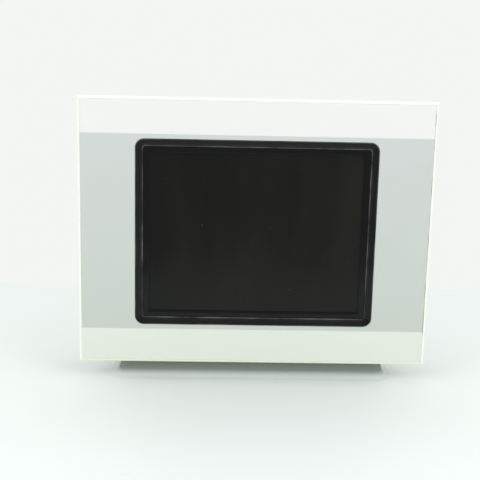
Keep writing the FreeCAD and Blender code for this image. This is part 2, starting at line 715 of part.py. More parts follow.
def door_hinge_x():
    """x of the battery door's hinge pin."""
    return DOOR_X - DOOR_WIDTH / 2


def barrel_pieces(z_ranges, web_side, y_web):
    """Hinge barrels on the pin's line, each with a small web down to its sheet."""
    x = door_hinge_x()
    pieces = []
    for z_range in z_ranges:
        web_x = sorted((x + web_side * HINGE_WEB[0], x + web_side * HINGE_WEB[1]))
        pieces.append(rod_up(x, DOOR_HINGE_Y, HINGE_BARREL, z_range))
        pieces.append(block(web_x, (y_web, DOOR_HINGE_Y + HINGE_WEB[2]), z_range))
    return pieces


def rear_cover():
    """Perforated steel lid with the battery opening, its hinge barrels and the cover's screw holes."""
    through = (HOUSING_DEPTH - 1, COVER_BACK + 1)
    count, first, pitch, wide = COVER_SLOTS
    columns = [first + pitch * index for index in range(count)]
    cuts = [centred(x, wide, through, z, COVER_SLOT_HIGH) for x in columns for z in COVER_SLOT_ROWS]
    cuts.append(centred(DOOR_X, DOOR_WIDTH, through, DOOR_Z, DOOR_HEIGHT))
    cuts += [rod(x, z, M3, through) for x, z in COVER_SCREWS]
    cuts.append(rod(EARTH_X, EARTH_Z, EARTH_SHANK, through))
    cover = drilled(housing_outline(0.5, (HOUSING_DEPTH, COVER_BACK)), cuts)
    half = HINGE_SPAN / 2
    inner = HINGE_SPAN / 4 + HINGE_PLAY
    ends = [(c - half, c - inner) for c in HINGE_CENTRES]
    ends += [(c + inner, c + half) for c in HINGE_CENTRES]
    barrels = all_of([cover] + barrel_pieces(ends, -1, HOUSING_DEPTH))
    pins = [rod_up(door_hinge_x(), DOOR_HINGE_Y, HINGE_PIN, (c - half, c + half)) for c in HINGE_CENTRES]
    return all_of([barrels] + pins)


def battery_cover():
    """Small hinged door, flush with the cover, with a finger notch at its free edge."""
    width = DOOR_WIDTH - 2 * DOOR_GAP
    leaf = centred(DOOR_X, width, (HOUSING_DEPTH, COVER_BACK), DOOR_Z, DOOR_HEIGHT - 2 * DOOR_GAP)
    half = HINGE_SPAN / 4 - HINGE_PLAY
    middles = [(c - half, c + half) for c in HINGE_CENTRES]
    door = all_of([leaf] + barrel_pieces(middles, 1, HOUSING_DEPTH + HINGE_WEB[2]))
    bore = HINGE_PIN + RUNNING_FIT
    holes = [rod_up(door_hinge_x(), DOOR_HINGE_Y, bore, (c - 5, c + 5)) for c in HINGE_CENTRES]
    holes.append(rod(DOOR_X + DOOR_WIDTH / 2, DOOR_Z, DOOR_NOTCH, (HOUSING_DEPTH - 1, COVER_BACK + 1)))
    return drilled(door, holes)


def battery_tray():
    """Moulded cup under the battery opening."""
    low, floor = BATTERY_Y - TRAY_FLOOR[0], BATTERY_Y - TRAY_FLOOR[1]
    outer = centred(DOOR_X, DOOR_WIDTH + TRAY_RIM, (low, HOUSING_DEPTH), DOOR_Z, DOOR_HEIGHT + TRAY_RIM)
    inside = (DOOR_WIDTH - TRAY_WALL, DOOR_HEIGHT - TRAY_WALL)
    inner = centred(DOOR_X, inside[0], (floor, HOUSING_DEPTH + 1), DOOR_Z, inside[1])
    ribs = []
    for side in (-1, 1):
        x = DOOR_X + side * TRAY_RIB_X
        rib = centred(x, TRAY_WALL, (floor - 0.5, BATTERY_Y + 1), DOOR_Z, 2 * TRAY_RIB_HALF)
        ribs.append(rib.cut(rod_across(BATTERY_Y, DOOR_Z, BATTERY_RADIUS + 0.1, (x - 2, x + 2))))
    return all_of([outer.cut(inner)] + ribs)


def battery():
    """Lithium cell with its positive cap."""
    left = DOOR_X - BATTERY_LONG / 2
    right = left + BATTERY_LONG
    cell = rod_across(BATTERY_Y, DOOR_Z, BATTERY_RADIUS, (left, right - BATTERY_CAP_LONG))
    cap = rod_across(BATTERY_Y, DOOR_Z, BATTERY_CAP, (right - BATTERY_CAP_LONG - 0.5, right))
    return all_of([cell, cap])


def clamp_screw(place):
    """Long clamp screw held between the two webs by its head and its collar."""
    x, z = clamp_axis(place)
    seat = WEB_REAR[1] + CLAMP_PLAY
    top = seat + CLAMP_HEAD_HIGH
    shaft = rod(x, z, SCREW_RADIUS, (CLAMP_TIP_Y, seat))
    collar = rod(x, z, CLAMP_COLLAR[0], (CLAMP_COLLAR[1], WEB_FRONT[0] - CLAMP_PLAY))
    crown = rod(x, z, CLAMP_HEAD_RADIUS, (seat, top))
    crown = crown.makeFillet(1.2, [crown.Edges[0]])
    screw = all_of([shaft, collar, crown])
    wide, thin, deep = CLAMP_SLOT
    slot = (top - deep, top + 1)
    return drilled(screw, [centred(x, wide, slot, z, thin), centred(x, thin, slot, z, wide)])


def clamp_pawl(place):
    """Cast claw threaded on its screw: hub, arm, and a foot that presses on the cabinet's skin."""
    hub = rod(0, 0, PAWL_HALF, PAWL_HUB)
    arm = block((0, PAWL_REACH), PAWL_HUB, (-PAWL_HALF, PAWL_HALF))
    toe = (PAWL_REACH - PAWL_FOOT_LONG, PAWL_REACH)
    foot = block(toe, (PAWL_FOOT_Y, PAWL_HUB[1]), (-PAWL_HALF, PAWL_HALF))
    claw = all_of([hub, arm, foot])
    end = [e for e in claw.Edges if abs(e.BoundBox.XMin - PAWL_REACH) < 0.01]
    claw = claw.makeFillet(PAWL_ROUND, [e for e in end if e.BoundBox.YLength > PAWL_FOOT_LONG])
    claw = claw.cut(rod(0, 0, SCREW_RADIUS + RUNNING_FIT, (PAWL_HUB[0] - 1, PAWL_HUB[1] + 1)))
    x, z = clamp_axis(place)
    if place[1] < 0:
        claw.rotate(Vector(0, 0, 0), FRONT_TO_BACK, 180)
    claw.translate(Vector(x, 0, z))
    return claw


# ---------------------------------------------------------------- chassis and boards

def chassis_plate():
    """Steel plate behind the display that carries every board."""
    plate = round_prism(CHASSIS_WIDTH, CHASSIS_HEIGHT, 3.0, (CHASSIS_FRONT, CHASSIS_BACK))
    span = (CHASSIS_FRONT - 1, CHASSIS_BACK + 1)
    holes = [rod(x, z, M3, span) for x, z in STANDOFFS + BOARD_STANDOFFS + inverter_corners()]
    holes.append(block(CABLE_WINDOW_X, span, CABLE_WINDOW_Z))
    return drilled(plate, holes)


def inverter_corners():
    """Fixing points of the inverter board."""
    return [(x, z) for x in (-128.0, -102.0) for z in (-58.0, 58.0)]


def chassis_standoffs():
    """Hexagonal pillars screwed into the front plate, which carry the chassis plate."""
    pillars = []
    for x, z in STANDOFFS:
        pillar = hexagon(x, z, STANDOFF_FLATS, (PLATE_BACK, CHASSIS_FRONT))
        pillar = pillar.fuse(rod(x, z, M3, (PLATE_BACK - 3.5, PLATE_BACK)))
        pillars.append(pillar.cut(rod(x, z, M3, (CHASSIS_FRONT - 7.0, CHASSIS_FRONT))))
    return Part.makeCompound(pillars)


def board_standoffs():
    """Pillars pressed into the chassis plate: steel under the main board, nylon under the inverter."""
    pillars = inverter_posts()
    for x, z in BOARD_STANDOFFS:
        pillar = hexagon(x, z, BOARD_POST_FLATS, (CHASSIS_BACK, BOARD_FRONT))
        pillar = pillar.fuse(rod(x, z, M3, (CHASSIS_FRONT, CHASSIS_BACK)))
        pillars.append(pillar.cut(rod(x, z, M3, (BOARD_FRONT - 5.0, BOARD_FRONT))))
    return Part.makeCompound(pillars)


def inverter_posts():
    """Four nylon posts under the inverter board."""
    posts = []
    for x, z in inverter_corners():
        post = rod(x, z, NYLON_RADIUS, (CHASSIS_BACK, INVERTER_FRONT))
        foot = rod(x, z, M3, (CHASSIS_FRONT, CHASSIS_BACK))
        snap = rod(x, z, INSERT_RADIUS, (INVERTER_FRONT, INVERTER_FRONT + 3.0))
        posts.append(all_of([post, foot, snap]))
    return posts


def chassis_screws():
    """Identical M3 pan-head screws: display clips, chassis plate and main board."""
    clip_back = PLATE_BACK + CLIP_THICK
    screws = [pan_screw(x, z, M3, clip_back - M3_BITE, clip_back, M3_HEAD) for x, z in BRACKET_SCREWS]
    screws += [pan_screw(x, z, M3, CHASSIS_FRONT - M3_BITE, CHASSIS_BACK, M3_HEAD) for x, z in STANDOFFS]
    screws += [pan_screw(x, z, M3, BOARD_BACK - M3_BITE, BOARD_BACK, M3_HEAD) for x, z in BOARD_STANDOFFS]
    return Part.makeCompound(screws)


def main_board():
    """Main circuit board with an arm that reaches the card slot."""
    span = (BOARD_FRONT, BOARD_BACK)
    body = block((-BOARD_HALF_WIDTH, BOARD_HALF_WIDTH), span, (BOARD_BOTTOM, BOARD_TOP))
    arm = block((BOARD_HALF_WIDTH - 1, BOARD_ARM_END), span, BOARD_ARM)
    holes = [rod(x, z, M3, (span[0] - 1, span[1] + 1)) for x, z in BOARD_STANDOFFS]
    return drilled(all_of([body, arm]), holes)


def on_board(x, z, width, height, thick):
    """Block soldered on the rear of the main board."""
    return centred(x, width, (BOARD_BACK, BOARD_BACK + thick), z, height)


def row_of_rods(row, seat):
    """Rods along Y in a row (count, first x, pitch, z, radius, height), standing on a seat."""
    count, first, pitch, z, radius, high = row
    return [rod(first + pitch * index, z, radius, (seat, seat + high)) for index in range(count)]


def heatsink():
    """Extruded aluminium heat sink on the processor."""
    x, z = PROCESSOR[:2]
    base = BOARD_BACK + PROCESSOR[4]
    first = x - FIN_PITCH * (FIN_COUNT - 1) / 2
    fins = [centred(x, SINK_SIDE, (base, base + SINK_BASE), z, SINK_SIDE)]
    for index in range(FIN_COUNT):
        fin_x = first + FIN_PITCH * index
        fins.append(centred(fin_x, FIN_THICK, (base + 2, base + SINK_HIGH), z, SINK_SIDE))
    return all_of(fins)


def memory_module():
    """Memory stick lying in its socket, with four chips."""
    wide, z, high, lift = MEMORY_STICK
    low = BOARD_BACK + lift
    chips_low = low + MEMORY_THICK - 0.2
    stick = centred(MEMORY_X, wide, (low, low + MEMORY_THICK), z, high)
    count, first, pitch, chip_wide, chip_z, chip_high = MEMORY_CHIPS
    chips = []
    for index in range(count):
        x = first + pitch * index
        chips.append(centred(x, chip_wide, (chips_low, chips_low + MEMORY_THICK), chip_z, chip_high))
    return all_of([stick] + chips)


def board_parts():
    """Processor, buzzer, chips, capacitors and the memory socket, soldered on the main board."""
    stick_low = BOARD_BACK + MEMORY_STICK[3]
    groove = (stick_low - 0.1, stick_low + MEMORY_THICK + 0.1)
    z, wide, high, deep = MEMORY_SOCKET
    socket = on_board(MEMORY_X, z, wide, high, deep)
    socket = socket.cut(centred(MEMORY_X, MEMORY_STICK[0] + 0.2, groove, z + high / 2 - 0.3, 1.0))
    x, z, radius, high = BUZZER
    parts = [on_board(*PROCESSOR), rod(x, z, radius, (BOARD_BACK, BOARD_BACK + high)), socket]
    parts += [on_board(*chip) for chip in CHIPS]
    for row in CAPACITORS:
        parts += row_of_rods(row, BOARD_BACK)
    return Part.makeCompound(parts)


def inverter_board():
    """Circuit board that feeds the display's lamps."""
    span = (INVERTER_FRONT, INVERTER_FRONT + BOARD_THICK)
    board = block(INVERTER_X, span, (-INVERTER_HALF, INVERTER_HALF))
    through = (span[0] - 1, span[1] + 1)
    return drilled(board, [rod(x, z, INSERT_RADIUS, through) for x, z in inverter_corners()])


def inverter_parts():
    """Transformer, coils and connectors of the inverter board."""
    seat = INVERTER_FRONT + BOARD_THICK
    parts = [centred(x, wide, (seat, seat + thick), z, high) for x, z, wide, high, thick in INVERTER_BLOCKS]
    return Part.makeCompound(parts + row_of_rods(INVERTER_COILS, seat))


def lcd_cable():
    """Flat cable from the display module through the chassis plate to the main board."""
    start_y = LCD_BACK + LCD_CABLE_THICK / 2
    end_y = BOARD_FRONT - 1.0
    start, turn, end = LCD_CABLE_Z
    route = [(start_y, start), (start_y, turn), (end_y, turn), (end_y, end)]
    return ribbon(route, LCD_CABLE_BEND, LCD_CABLE_THICK, LCD_CABLE_X)


# ---------------------------------------------------------------- sockets and switches

def on_board_edge(x, half, deep, z_range):
    """Block on the rear of the main board, centred on x: the body of a socket or switch."""
    return block((x - half, x + half), (BOARD_BACK, BOARD_BACK + deep), z_range)


def pole_places():
    """x of the three poles of the power header."""
    return [POWER_X + POLE_PITCH * index for index in (-1, 0, 1)]


def power_socket():
    """Three-pole header with its pins, mouth down."""
    wide, deep, tall = POWER_SIZE
    middle = BOARD_BACK + deep / 2
    top = MOUTH_Z + POWER_MOUTH
    body = on_board_edge(POWER_X, wide / 2, deep, (MOUTH_Z, MOUTH_Z + tall))
    half = wide / 2 - POWER_WALL
    y_range = (BOARD_BACK + POWER_WALL, BOARD_BACK + deep - POWER_WALL)
    mouth = block((POWER_X - half, POWER_X + half), y_range, (MOUTH_Z - 1, top))
    pins = [rod_up(x, middle, PIN_RADIUS, (MOUTH_Z + 1.5, top + 1)) for x in pole_places()]
    return all_of([body.cut(mouth)] + pins)


def power_plug():
    """Pull-off screw-terminal plug in the power header."""
    wide, deep, _ = POWER_SIZE
    middle = BOARD_BACK + deep / 2
    half = wide / 2 - 1.5
    y_range = (middle - PLUG_NECK_HALF, middle + PLUG_NECK_HALF)
    neck = block((POWER_X - half, POWER_X + half), y_range, (MOUTH_Z - 1.0, MOUTH_Z + POWER_MOUTH - 0.5))
    y_range = (middle + PLUG_HEAD_Y[0], middle + PLUG_HEAD_Y[1])
    z_range = (MOUTH_Z + PLUG_HEAD_Z[0], MOUTH_Z + PLUG_HEAD_Z[1])
    head = block((POWER_X - wide / 2, POWER_X + wide / 2), y_range, z_range)
    entry_y = (middle + WIRE_ENTRY_Y[0], middle + WIRE_ENTRY_Y[1])
    entry_z = (z_range[0] - 1.0, MOUTH_Z - 3.5)
    holes = []
    for x in pole_places():
        holes.append(rod_up(x, middle, PLUG_BORE, (MOUTH_Z, MOUTH_Z + POWER_MOUTH)))
        holes.append(block((x - WIRE_ENTRY_HALF, x + WIRE_ENTRY_HALF), entry_y, entry_z))
        holes.append(rod(x, MOUTH_Z + TERMINAL_Z, WIRE_ENTRY_HALF, (middle + TERMINAL_SEAT, middle + 8)))
    return drilled(all_of([neck, head]), holes)


def plug_screws():
    """Three slotted terminal screws in the power plug."""
    seat = BOARD_BACK + POWER_SIZE[1] / 2 + TERMINAL_SEAT
    radius, high, slot = TERMINAL_SCREW
    z = MOUTH_Z + TERMINAL_Z
    screws = []
    for x in pole_places():
        screw = rod(x, z, radius, (seat, seat + high))
        screws.append(screw.cut(centred(x, 2 * radius + 0.4, (seat + high - 0.8, seat + high + 1), z, slot)))
    return Part.makeCompound(screws)


def d_outline(x, wide, deep, z_range):
    """Prism with the D-shaped outline of a nine-way connector."""
    lean = deep * math.tan(math.radians(SERIAL_SHELL_LEAN))
    low = SERIAL_Y - deep / 2
    high = SERIAL_Y + deep / 2
    half = wide / 2
    spots = [(x - half, low), (x + half, low), (x + half - lean, high), (x - half + lean, high)]
    points = [Vector(px, py, z_range[0]) for px, py in spots]
    solid = Part.Face(Part.makePolygon(points + points[:1])).extrude(Vector(0, 0, z_range[1] - z_range[0]))
    upright = [e for e in solid.Edges if e.BoundBox.ZLength > 0.5 * (z_range[1] - z_range[0])]
    return solid.makeFillet(SERIAL_SHELL_ROUND, upright)


def serial_ports():
    """Two nine-way sockets: flange, shell with nine contact holes, and the body behind."""
    ports = []
    wide, deep = SERIAL_FLANGE
    shell_wide, shell_deep, shell_long = SERIAL_SHELL
    flange_z = (-WALL_Z, -WALL_Z + 1.0)
    body_y = (BOARD_BACK, BOARD_BACK + SERIAL_BODY_DEEP)
    body_z = (-WALL_Z + 1.0, -WALL_Z + SERIAL_BODY_DEEP)
    for x in SERIAL_X:
        flange = block((x - wide / 2, x + wide / 2), (SERIAL_Y - deep / 2, SERIAL_Y + deep / 2), flange_z)
        shell = d_outline(x, shell_wide, shell_deep, (-WALL_Z - shell_long, -WALL_Z + 0.5))
        body = block((x - SERIAL_BODY_HALF, x + SERIAL_BODY_HALF), body_y, body_z)
        holes = []
        for y, count in ((SERIAL_Y - CONTACT_ROW, 5), (SERIAL_Y + CONTACT_ROW, 4)):
            first = x - CONTACT_PITCH * (count - 1) / 2
            places = [first + CONTACT_PITCH * index for index in range(count)]
            holes += [rod_up(place, y, CONTACT_RADIUS, (-WALL_Z - 7, -WALL_Z - 2)) for place in places]
        holes += [rod_up(place, SERIAL_Y, M3, (-WALL_Z - 1, -WALL_Z + 2)) for place in jack_places(x)]
        ports.append(drilled(all_of([flange, shell, body]), holes))
    return Part.makeCompound(ports)


def jack_places(x):
    """x of the two jack posts of the serial port at x."""
    return [x - SERIAL_SCREW_PITCH / 2, x + SERIAL_SCREW_PITCH / 2]


def jackscrews():
    """Four hexagonal jack posts that take the serial plugs' screws."""
    posts = []
    for place in jack_places(SERIAL_X[0]) + jack_places(SERIAL_X[1]):
        post = hexagon(0, 0, JACK_FLATS, (0, JACK_LONG))
        post.rotate(Vector(0, 0, 0), Vector(1, 0, 0), 90)
        post.translate(Vector(place, SERIAL_Y, -WALL_Z - JACK_LONG))
        post = all_of([post, rod_up(place, SERIAL_Y, M3, (-WALL_Z - 0.1, -WALL_Z + 3.5))])
        tapped = (-WALL_Z - JACK_LONG - 1, -WALL_Z - 0.5)
        posts.append(post.cut(rod_up(place, SERIAL_Y, JACK_THREAD_RADIUS, tapped)))
    return Part.makeCompound(posts)


def ethernet_jack():
    """Shielded network jack with its latch notch."""
    wide, deep, tall = ETHERNET_SIZE
    x = ETHERNET_X
    body = on_board_edge(x, wide / 2, deep, (MOUTH_Z, MOUTH_Z + tall))
    hollows = []
    for half, low, high, reach in (ETHERNET_CAVITY, ETHERNET_LATCH):
        y_range = (BOARD_BACK + low, BOARD_BACK + high)
        hollows.append(block((x - half, x + half), y_range, (MOUTH_Z - 1, MOUTH_Z + reach)))
    return drilled(body, hollows)


def usb_socket():
    """Double shell for two flat serial-bus plugs, with its two tongues."""
    wide, deep, tall = USB_SIZE
    half, high, reach = USB_PORT
    tongue_half, tongue_low, tongue_high = USB_TONGUE
    x = USB_X
    shell = on_board_edge(x, wide / 2, deep, (MOUTH_Z, MOUTH_Z + tall))
    tongue_z = (MOUTH_Z + 1.5, MOUTH_Z + reach + 0.5)
    tongues = []
    for start in USB_PORTS:
        low = BOARD_BACK + start
        shell = shell.cut(block((x - half, x + half), (low, low + high), (MOUTH_Z - 1, MOUTH_Z + reach)))
        y_range = (low + tongue_low, low + tongue_high)
        tongues.append(block((x - tongue_half, x + tongue_half), y_range, tongue_z))
    return all_of([shell] + tongues)


def switch_bodies():
    """Bodies of the two address switches, the reset switch and the slide switch."""
    bodies = []
    bore = (SWITCH_FACE - 1, SWITCH_FACE + 5.0)
    deep, tall = SWITCH_DEEP
    for x in DIAL_X:
        body = on_board_edge(x, SWITCH_HALF, deep, (SWITCH_FACE, SWITCH_FACE + tall))
        bodies.append(body.cut(rod_up(x, DIAL_Y, STEM_RADIUS + RUNNING_FIT, bore)))
    half, deep, tall = RESET_BODY
    reset = on_board_edge(RESET_X, half, deep, (SWITCH_FACE, SWITCH_FACE + tall))
    bodies.append(reset.cut(rod_up(RESET_X, DIAL_Y, STEM_RADIUS + RUNNING_FIT, bore)))
    half, deep, tall = SLIDER_BODY
    slide = on_board_edge(SLIDER_X, half, deep, (SWITCH_FACE, SWITCH_FACE + tall))
    half, reach, tall = SLIDER_GROOVE
    groove_z = (SWITCH_FACE - 1, SWITCH_FACE + tall)
    groove = block((SLIDER_X - half, SLIDER_X + half), (DIAL_Y - reach, DIAL_Y + reach), groove_z)
    bodies.append(slide.cut(groove))
    return Part.makeCompound(bodies)


def rotary_dial(x):
    """Ten-position address dial with an arrow-shaped driver slot."""
    face = -WALL_Z + DIAL_FACE
    dial = rod_up(x, DIAL_Y, DIAL_RADIUS, (face, SWITCH_FACE - 0.2))
    stem = rod_up(x, DIAL_Y, STEM_RADIUS, (SWITCH_FACE - 0.3, SWITCH_FACE + 4.5))
    half, reach, deep = DIAL_SLOT
    slot = block((x - half, x + half), (DIAL_Y - reach, DIAL_Y + reach), (face - 1, face + deep))
    half, low, tip = DIAL_ARROW
    spots = [Vector(x - half, DIAL_Y + low, face - 1), Vector(x + half, DIAL_Y + low, face - 1)]
    spots += [Vector(x, DIAL_Y + tip, face - 1), spots[0]]
    arrow = Part.Face(Part.makePolygon(spots)).extrude(Vector(0, 0, deep + 1))
    return drilled(all_of([dial, stem]), [slot, arrow])


def reset_button():
    """Recessed reset plunger."""
    return rod_up(RESET_X, DIAL_Y, STEM_RADIUS, (-WALL_Z + 0.8, SWITCH_FACE + 3.0))


def termination_slider():
    """Thumb of the line-termination slide switch."""
    x = SLIDER_X - SLIDER_TRAVEL / 2
    parts = []
    foot_z = (SWITCH_FACE + 0.2, SWITCH_FACE + 2.8)
    thumb_z = (-WALL_Z + 0.5, SWITCH_FACE + 0.5)
    for half, z_range in ((SLIDER_FOOT_HALF, foot_z), (SLIDER_THUMB_HALF, thumb_z)):
        parts.append(block((x - half, x + half), (DIAL_Y - half, DIAL_Y + half), z_range))
    return all_of(parts)


def card_middle():
    """y of the middle of the memory card."""
    return BOARD_BACK + CARD_SLOT_HIGH / 2


def card_centre_z():
    """z of the middle of the memory card."""
    return (CARD_SLOT_Z[0] + CARD_SLOT_Z[1]) / 2


def card_slot():
    """Card connector with the channel for its eject rod."""
    y_range = (BOARD_BACK, BOARD_BACK + CARD_SLOT_HIGH)
    body = block(CARD_SLOT_X, y_range, (CARD_SLOT_Z[0], EJECT_Z + CARD_SLOT_RIM))
    x_range = (CARD_SLOT_X[0] + CARD_SLOT_WALL, CARD_SLOT_X[1] + 1)
    y, z = card_middle(), card_centre_z()
    half = CARD_THICK / 2 + CARD_GAP
    reach = CARD_WIDE / 2 + CARD_GAP
    pocket = block(x_range, (y - half, y + half), (z - reach, z + reach))
    grip = EJECT_HALF + CARD_GAP
    channel = block(x_range, (y - grip, y + grip), (EJECT_Z - grip, EJECT_Z + grip))
    return drilled(body, [pocket, channel])


def memory_card():
    """Memory card with a finger lip at its outer edge."""
    y, z = card_middle(), card_centre_z()
    z_range = (z - CARD_WIDE / 2, z + CARD_WIDE / 2)
    face = y + CARD_THICK / 2
    card = block((CARD_EDGE_X - CARD_LONG, CARD_EDGE_X), (y - CARD_THICK / 2, face), z_range)
    inner, outer, deep = CARD_GRIP
    return card.cut(block((CARD_EDGE_X - inner, CARD_EDGE_X - outer), (face - deep, face + 1), z_range))


def card_ejector():
    """Bar behind the card that pushes it out."""
    far = CARD_EDGE_X - CARD_LONG - CARD_GAP
    y, z = card_middle(), card_centre_z()
    thick, half, reach = EJECTOR_BAR
    return block((far - thick, far), (y - half, y + half), (z - reach, z + reach))


def eject_button():
    """Square push rod with a button cap outside the wall."""
    y = card_middle()
    z_range = (EJECT_Z - EJECT_HALF, EJECT_Z + EJECT_HALF)
    stick = block((CARD_SLOT_X[0] + EJECT_INNER, EJECT_OUT_X), (y - EJECT_HALF, y + EJECT_HALF), z_range)
    tip = [e for e in stick.Edges if e.BoundBox.XMin > EJECT_OUT_X - 0.01]
    return stick.makeFillet(EJECT_ROUND, tip)


# ---------------------------------------------------------------- fasteners outside

def housing_screws():
    """M4 screws that hold the housing's corner feet to the front plate."""
    tip = PLATE_BACK - THREAD_DEPTH + 0.4
    screws = [pan_screw(x, z, M4, tip, CORNER_FOOT_BACK, M4_HEAD) for x, z in CORNER_SCREWS]
    return Part.makeCompound(screws)


def cover_screws():
    """M3 screws of the rear cover."""
    screws = [pan_screw(x, z, M3, HOUSING_DEPTH - 8.0, COVER_BACK, M3_HEAD + 0.1) for x, z in COVER_SCREWS]
    return Part.makeCompound(screws)


def earth_stud():
    """Protective-earth stud: inner head, thick shank through cover and nut, then the free thread."""
    radius, high = EARTH_HEAD
    inner = HOUSING_DEPTH - high
    return all_of([
        rod(EARTH_X, EARTH_Z, radius, (inner, HOUSING_DEPTH)),
        rod(EARTH_X, EARTH_Z, EARTH_SHANK, (inner, EARTH_STEP)),
        rod(EARTH_X, EARTH_Z, EARTH_RADIUS, (inner, EARTH_END)),
    ])


def earth_nut():
    """Tooth washer and hexagonal nut on the earth stud, as two solids."""
    radius, thick = EARTH_WASHER
    washer = rod(EARTH_X, EARTH_Z, radius, (COVER_BACK, COVER_BACK + thick))
    nut = hexagon(EARTH_X, EARTH_Z, EARTH_FLATS, (COVER_BACK + thick, EARTH_STEP))
    hole = rod(EARTH_X, EARTH_Z, EARTH_SHANK, (COVER_BACK - 1, EARTH_STEP + 1))
    return Part.makeCompound([washer.cut(hole), nut.cut(hole)])


def rating_label():
    """Blank foil plate on the rear cover."""
    plate = round_prism(*LABEL_SIZE, (COVER_BACK, COVER_BACK + LABEL_THICK))
    plate.translate(Vector(LABEL_PLACE[0], 0, LABEL_PLACE[1]))
    return plate


def all_pieces():
    """Every node of the assembly by name."""
    pieces = {
        "front_plate": front_plate(),
        "front_overlay": front_overlay(),
        "display_frame": display_frame(),
        "panel_gasket": panel_gasket(),
        "touch_gasket": touch_gasket(),
        "touch_sensor": touch_sensor(),
        "touch_tail": touch_tail(),
        "lcd_brackets": lcd_brackets(),
        "lcd_cable": lcd_cable(),
        "rear_housing": rear_housing(),
        "housing_screws": housing_screws(),
        "rear_cover": rear_cover(),
        "cover_screws": cover_screws(),
        "battery_cover": battery_cover(),
        "battery_tray": battery_tray(),
        "battery": battery(),
        "earth_stud": earth_stud(),
        "earth_nut": earth_nut(),
        "rating_label": rating_label(),
        "chassis_plate": chassis_plate(),
        "chassis_standoffs": chassis_standoffs(),
        "chassis_screws": chassis_screws(),
        "board_standoffs": board_standoffs(),
        "main_board": main_board(),
        "heatsink": heatsink(),
        "memory_module": memory_module(),
        "board_parts": board_parts(),
        "inverter_board": inverter_board(),
        "inverter_parts": inverter_parts(),
        "power_socket": power_socket(),
        "power_plug": power_plug(),
        "plug_screws": plug_screws(),
        "serial_ports": serial_ports(),
        "jackscrews": jackscrews(),
        "ethernet_jack": ethernet_jack(),
        "usb_socket": usb_socket(),
        "switch_bodies": switch_bodies(),
        "rotary_dial_1": rotary_dial(DIAL_X[0]),
        "rotary_dial_2": rotary_dial(DIAL_X[1]),
        "reset_button": reset_button(),
        "termination_slider": termination_slider(),
        "card_slot": card_slot(),
        "memory_card": memory_card(),
        "card_ejector": card_ejector(),
        "eject_button": eject_button(),
    }
    pieces.update(display_pieces())
    for number, place in enumerate(clamp_places(), 1):
        pieces["clamp_screw_%d" % number] = clamp_screw(place)
        pieces["clamp_pawl_%d" % number] = clamp_pawl(place)
    return pieces


os.makedirs("parts", exist_ok=True)
for node, shape in all_pieces().items():
    if not shape.isValid() or not shape.Solids:
        raise ValueError("bad solid: " + node)
    shape.exportStep("parts/%s.step" % node)
    print(node, len(shape.Solids), round(shape.Volume))
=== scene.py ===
import math

import bpy
import numpy as np
from mathutils import Matrix, Vector


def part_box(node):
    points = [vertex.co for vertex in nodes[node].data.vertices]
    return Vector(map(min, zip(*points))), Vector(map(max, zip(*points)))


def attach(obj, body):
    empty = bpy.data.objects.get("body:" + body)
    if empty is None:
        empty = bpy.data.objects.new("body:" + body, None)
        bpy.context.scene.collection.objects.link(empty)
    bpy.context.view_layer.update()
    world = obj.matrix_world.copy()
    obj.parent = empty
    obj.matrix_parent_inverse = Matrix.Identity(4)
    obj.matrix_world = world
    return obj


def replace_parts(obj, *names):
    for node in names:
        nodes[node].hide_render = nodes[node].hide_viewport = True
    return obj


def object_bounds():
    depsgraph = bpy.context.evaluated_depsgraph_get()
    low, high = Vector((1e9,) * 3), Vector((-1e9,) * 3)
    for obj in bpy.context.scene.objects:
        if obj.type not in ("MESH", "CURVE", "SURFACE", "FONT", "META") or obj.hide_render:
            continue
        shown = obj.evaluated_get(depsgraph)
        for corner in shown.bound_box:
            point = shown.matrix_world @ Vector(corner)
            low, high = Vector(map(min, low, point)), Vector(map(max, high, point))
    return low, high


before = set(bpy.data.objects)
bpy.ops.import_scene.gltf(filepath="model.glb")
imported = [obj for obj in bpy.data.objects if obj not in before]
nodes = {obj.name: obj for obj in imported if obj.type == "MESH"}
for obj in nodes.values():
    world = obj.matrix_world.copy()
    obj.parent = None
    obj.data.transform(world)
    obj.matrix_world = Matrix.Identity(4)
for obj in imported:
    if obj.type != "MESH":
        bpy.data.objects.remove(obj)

cad_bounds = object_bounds()
MM = 0.001


# ------------------------------------------------------------------ front plate
# The casting that everything hangs on: die-cast aluminium, machined flat behind, then powder
# coated in a warm white.  Its rounded rim is the only part of it that the operator sees.

def linear(code):
    """Linear RGBA of an sRGB hex colour: the power law above the toe, the straight line below it."""
    parts = np.array([int(code[place:place + 2], 16) for place in (1, 3, 5)]) / 255
    light = np.where(parts > 0.04045, ((parts + 0.055) / 1.055) ** 2.4, parts / 12.92)
    return (*light.tolist(), 1.0)


def add(tree, kind, feeds=None, **settings):
    """Adds a node, sets its properties, and feeds its sockets with values or other nodes' outputs."""
    made = tree.nodes.new(kind)
    for setting, value in settings.items():
        setattr(made, setting, value)
    for socket, value in (feeds or {}).items():
        if isinstance(value, bpy.types.NodeSocket):
            tree.links.new(value, made.inputs[socket])
        else:
            made.inputs[socket].default_value = value
    return made


def start(name, roughness, metallic=0.0, **constants):
    """New material: its tree, its shader with the given constants, and the place in millimetres."""
    material = bpy.data.materials.new(name)
    material.use_nodes = True
    tree = material.node_tree
    shader = tree.nodes["Principled BSDF"]
    shader.inputs["Roughness"].default_value = roughness
    shader.inputs["Metallic"].default_value = metallic
    for socket, value in constants.items():
        shader.inputs[socket.replace("_", " ")].default_value = value
    place = add(tree, "ShaderNodeTexCoord").outputs["Object"]
    place = add(tree, "ShaderNodeVectorMath", {0: place, 1: (1000, 1000, 1000)},
                operation="MULTIPLY").outputs[0]
    return material, tree, shader, place


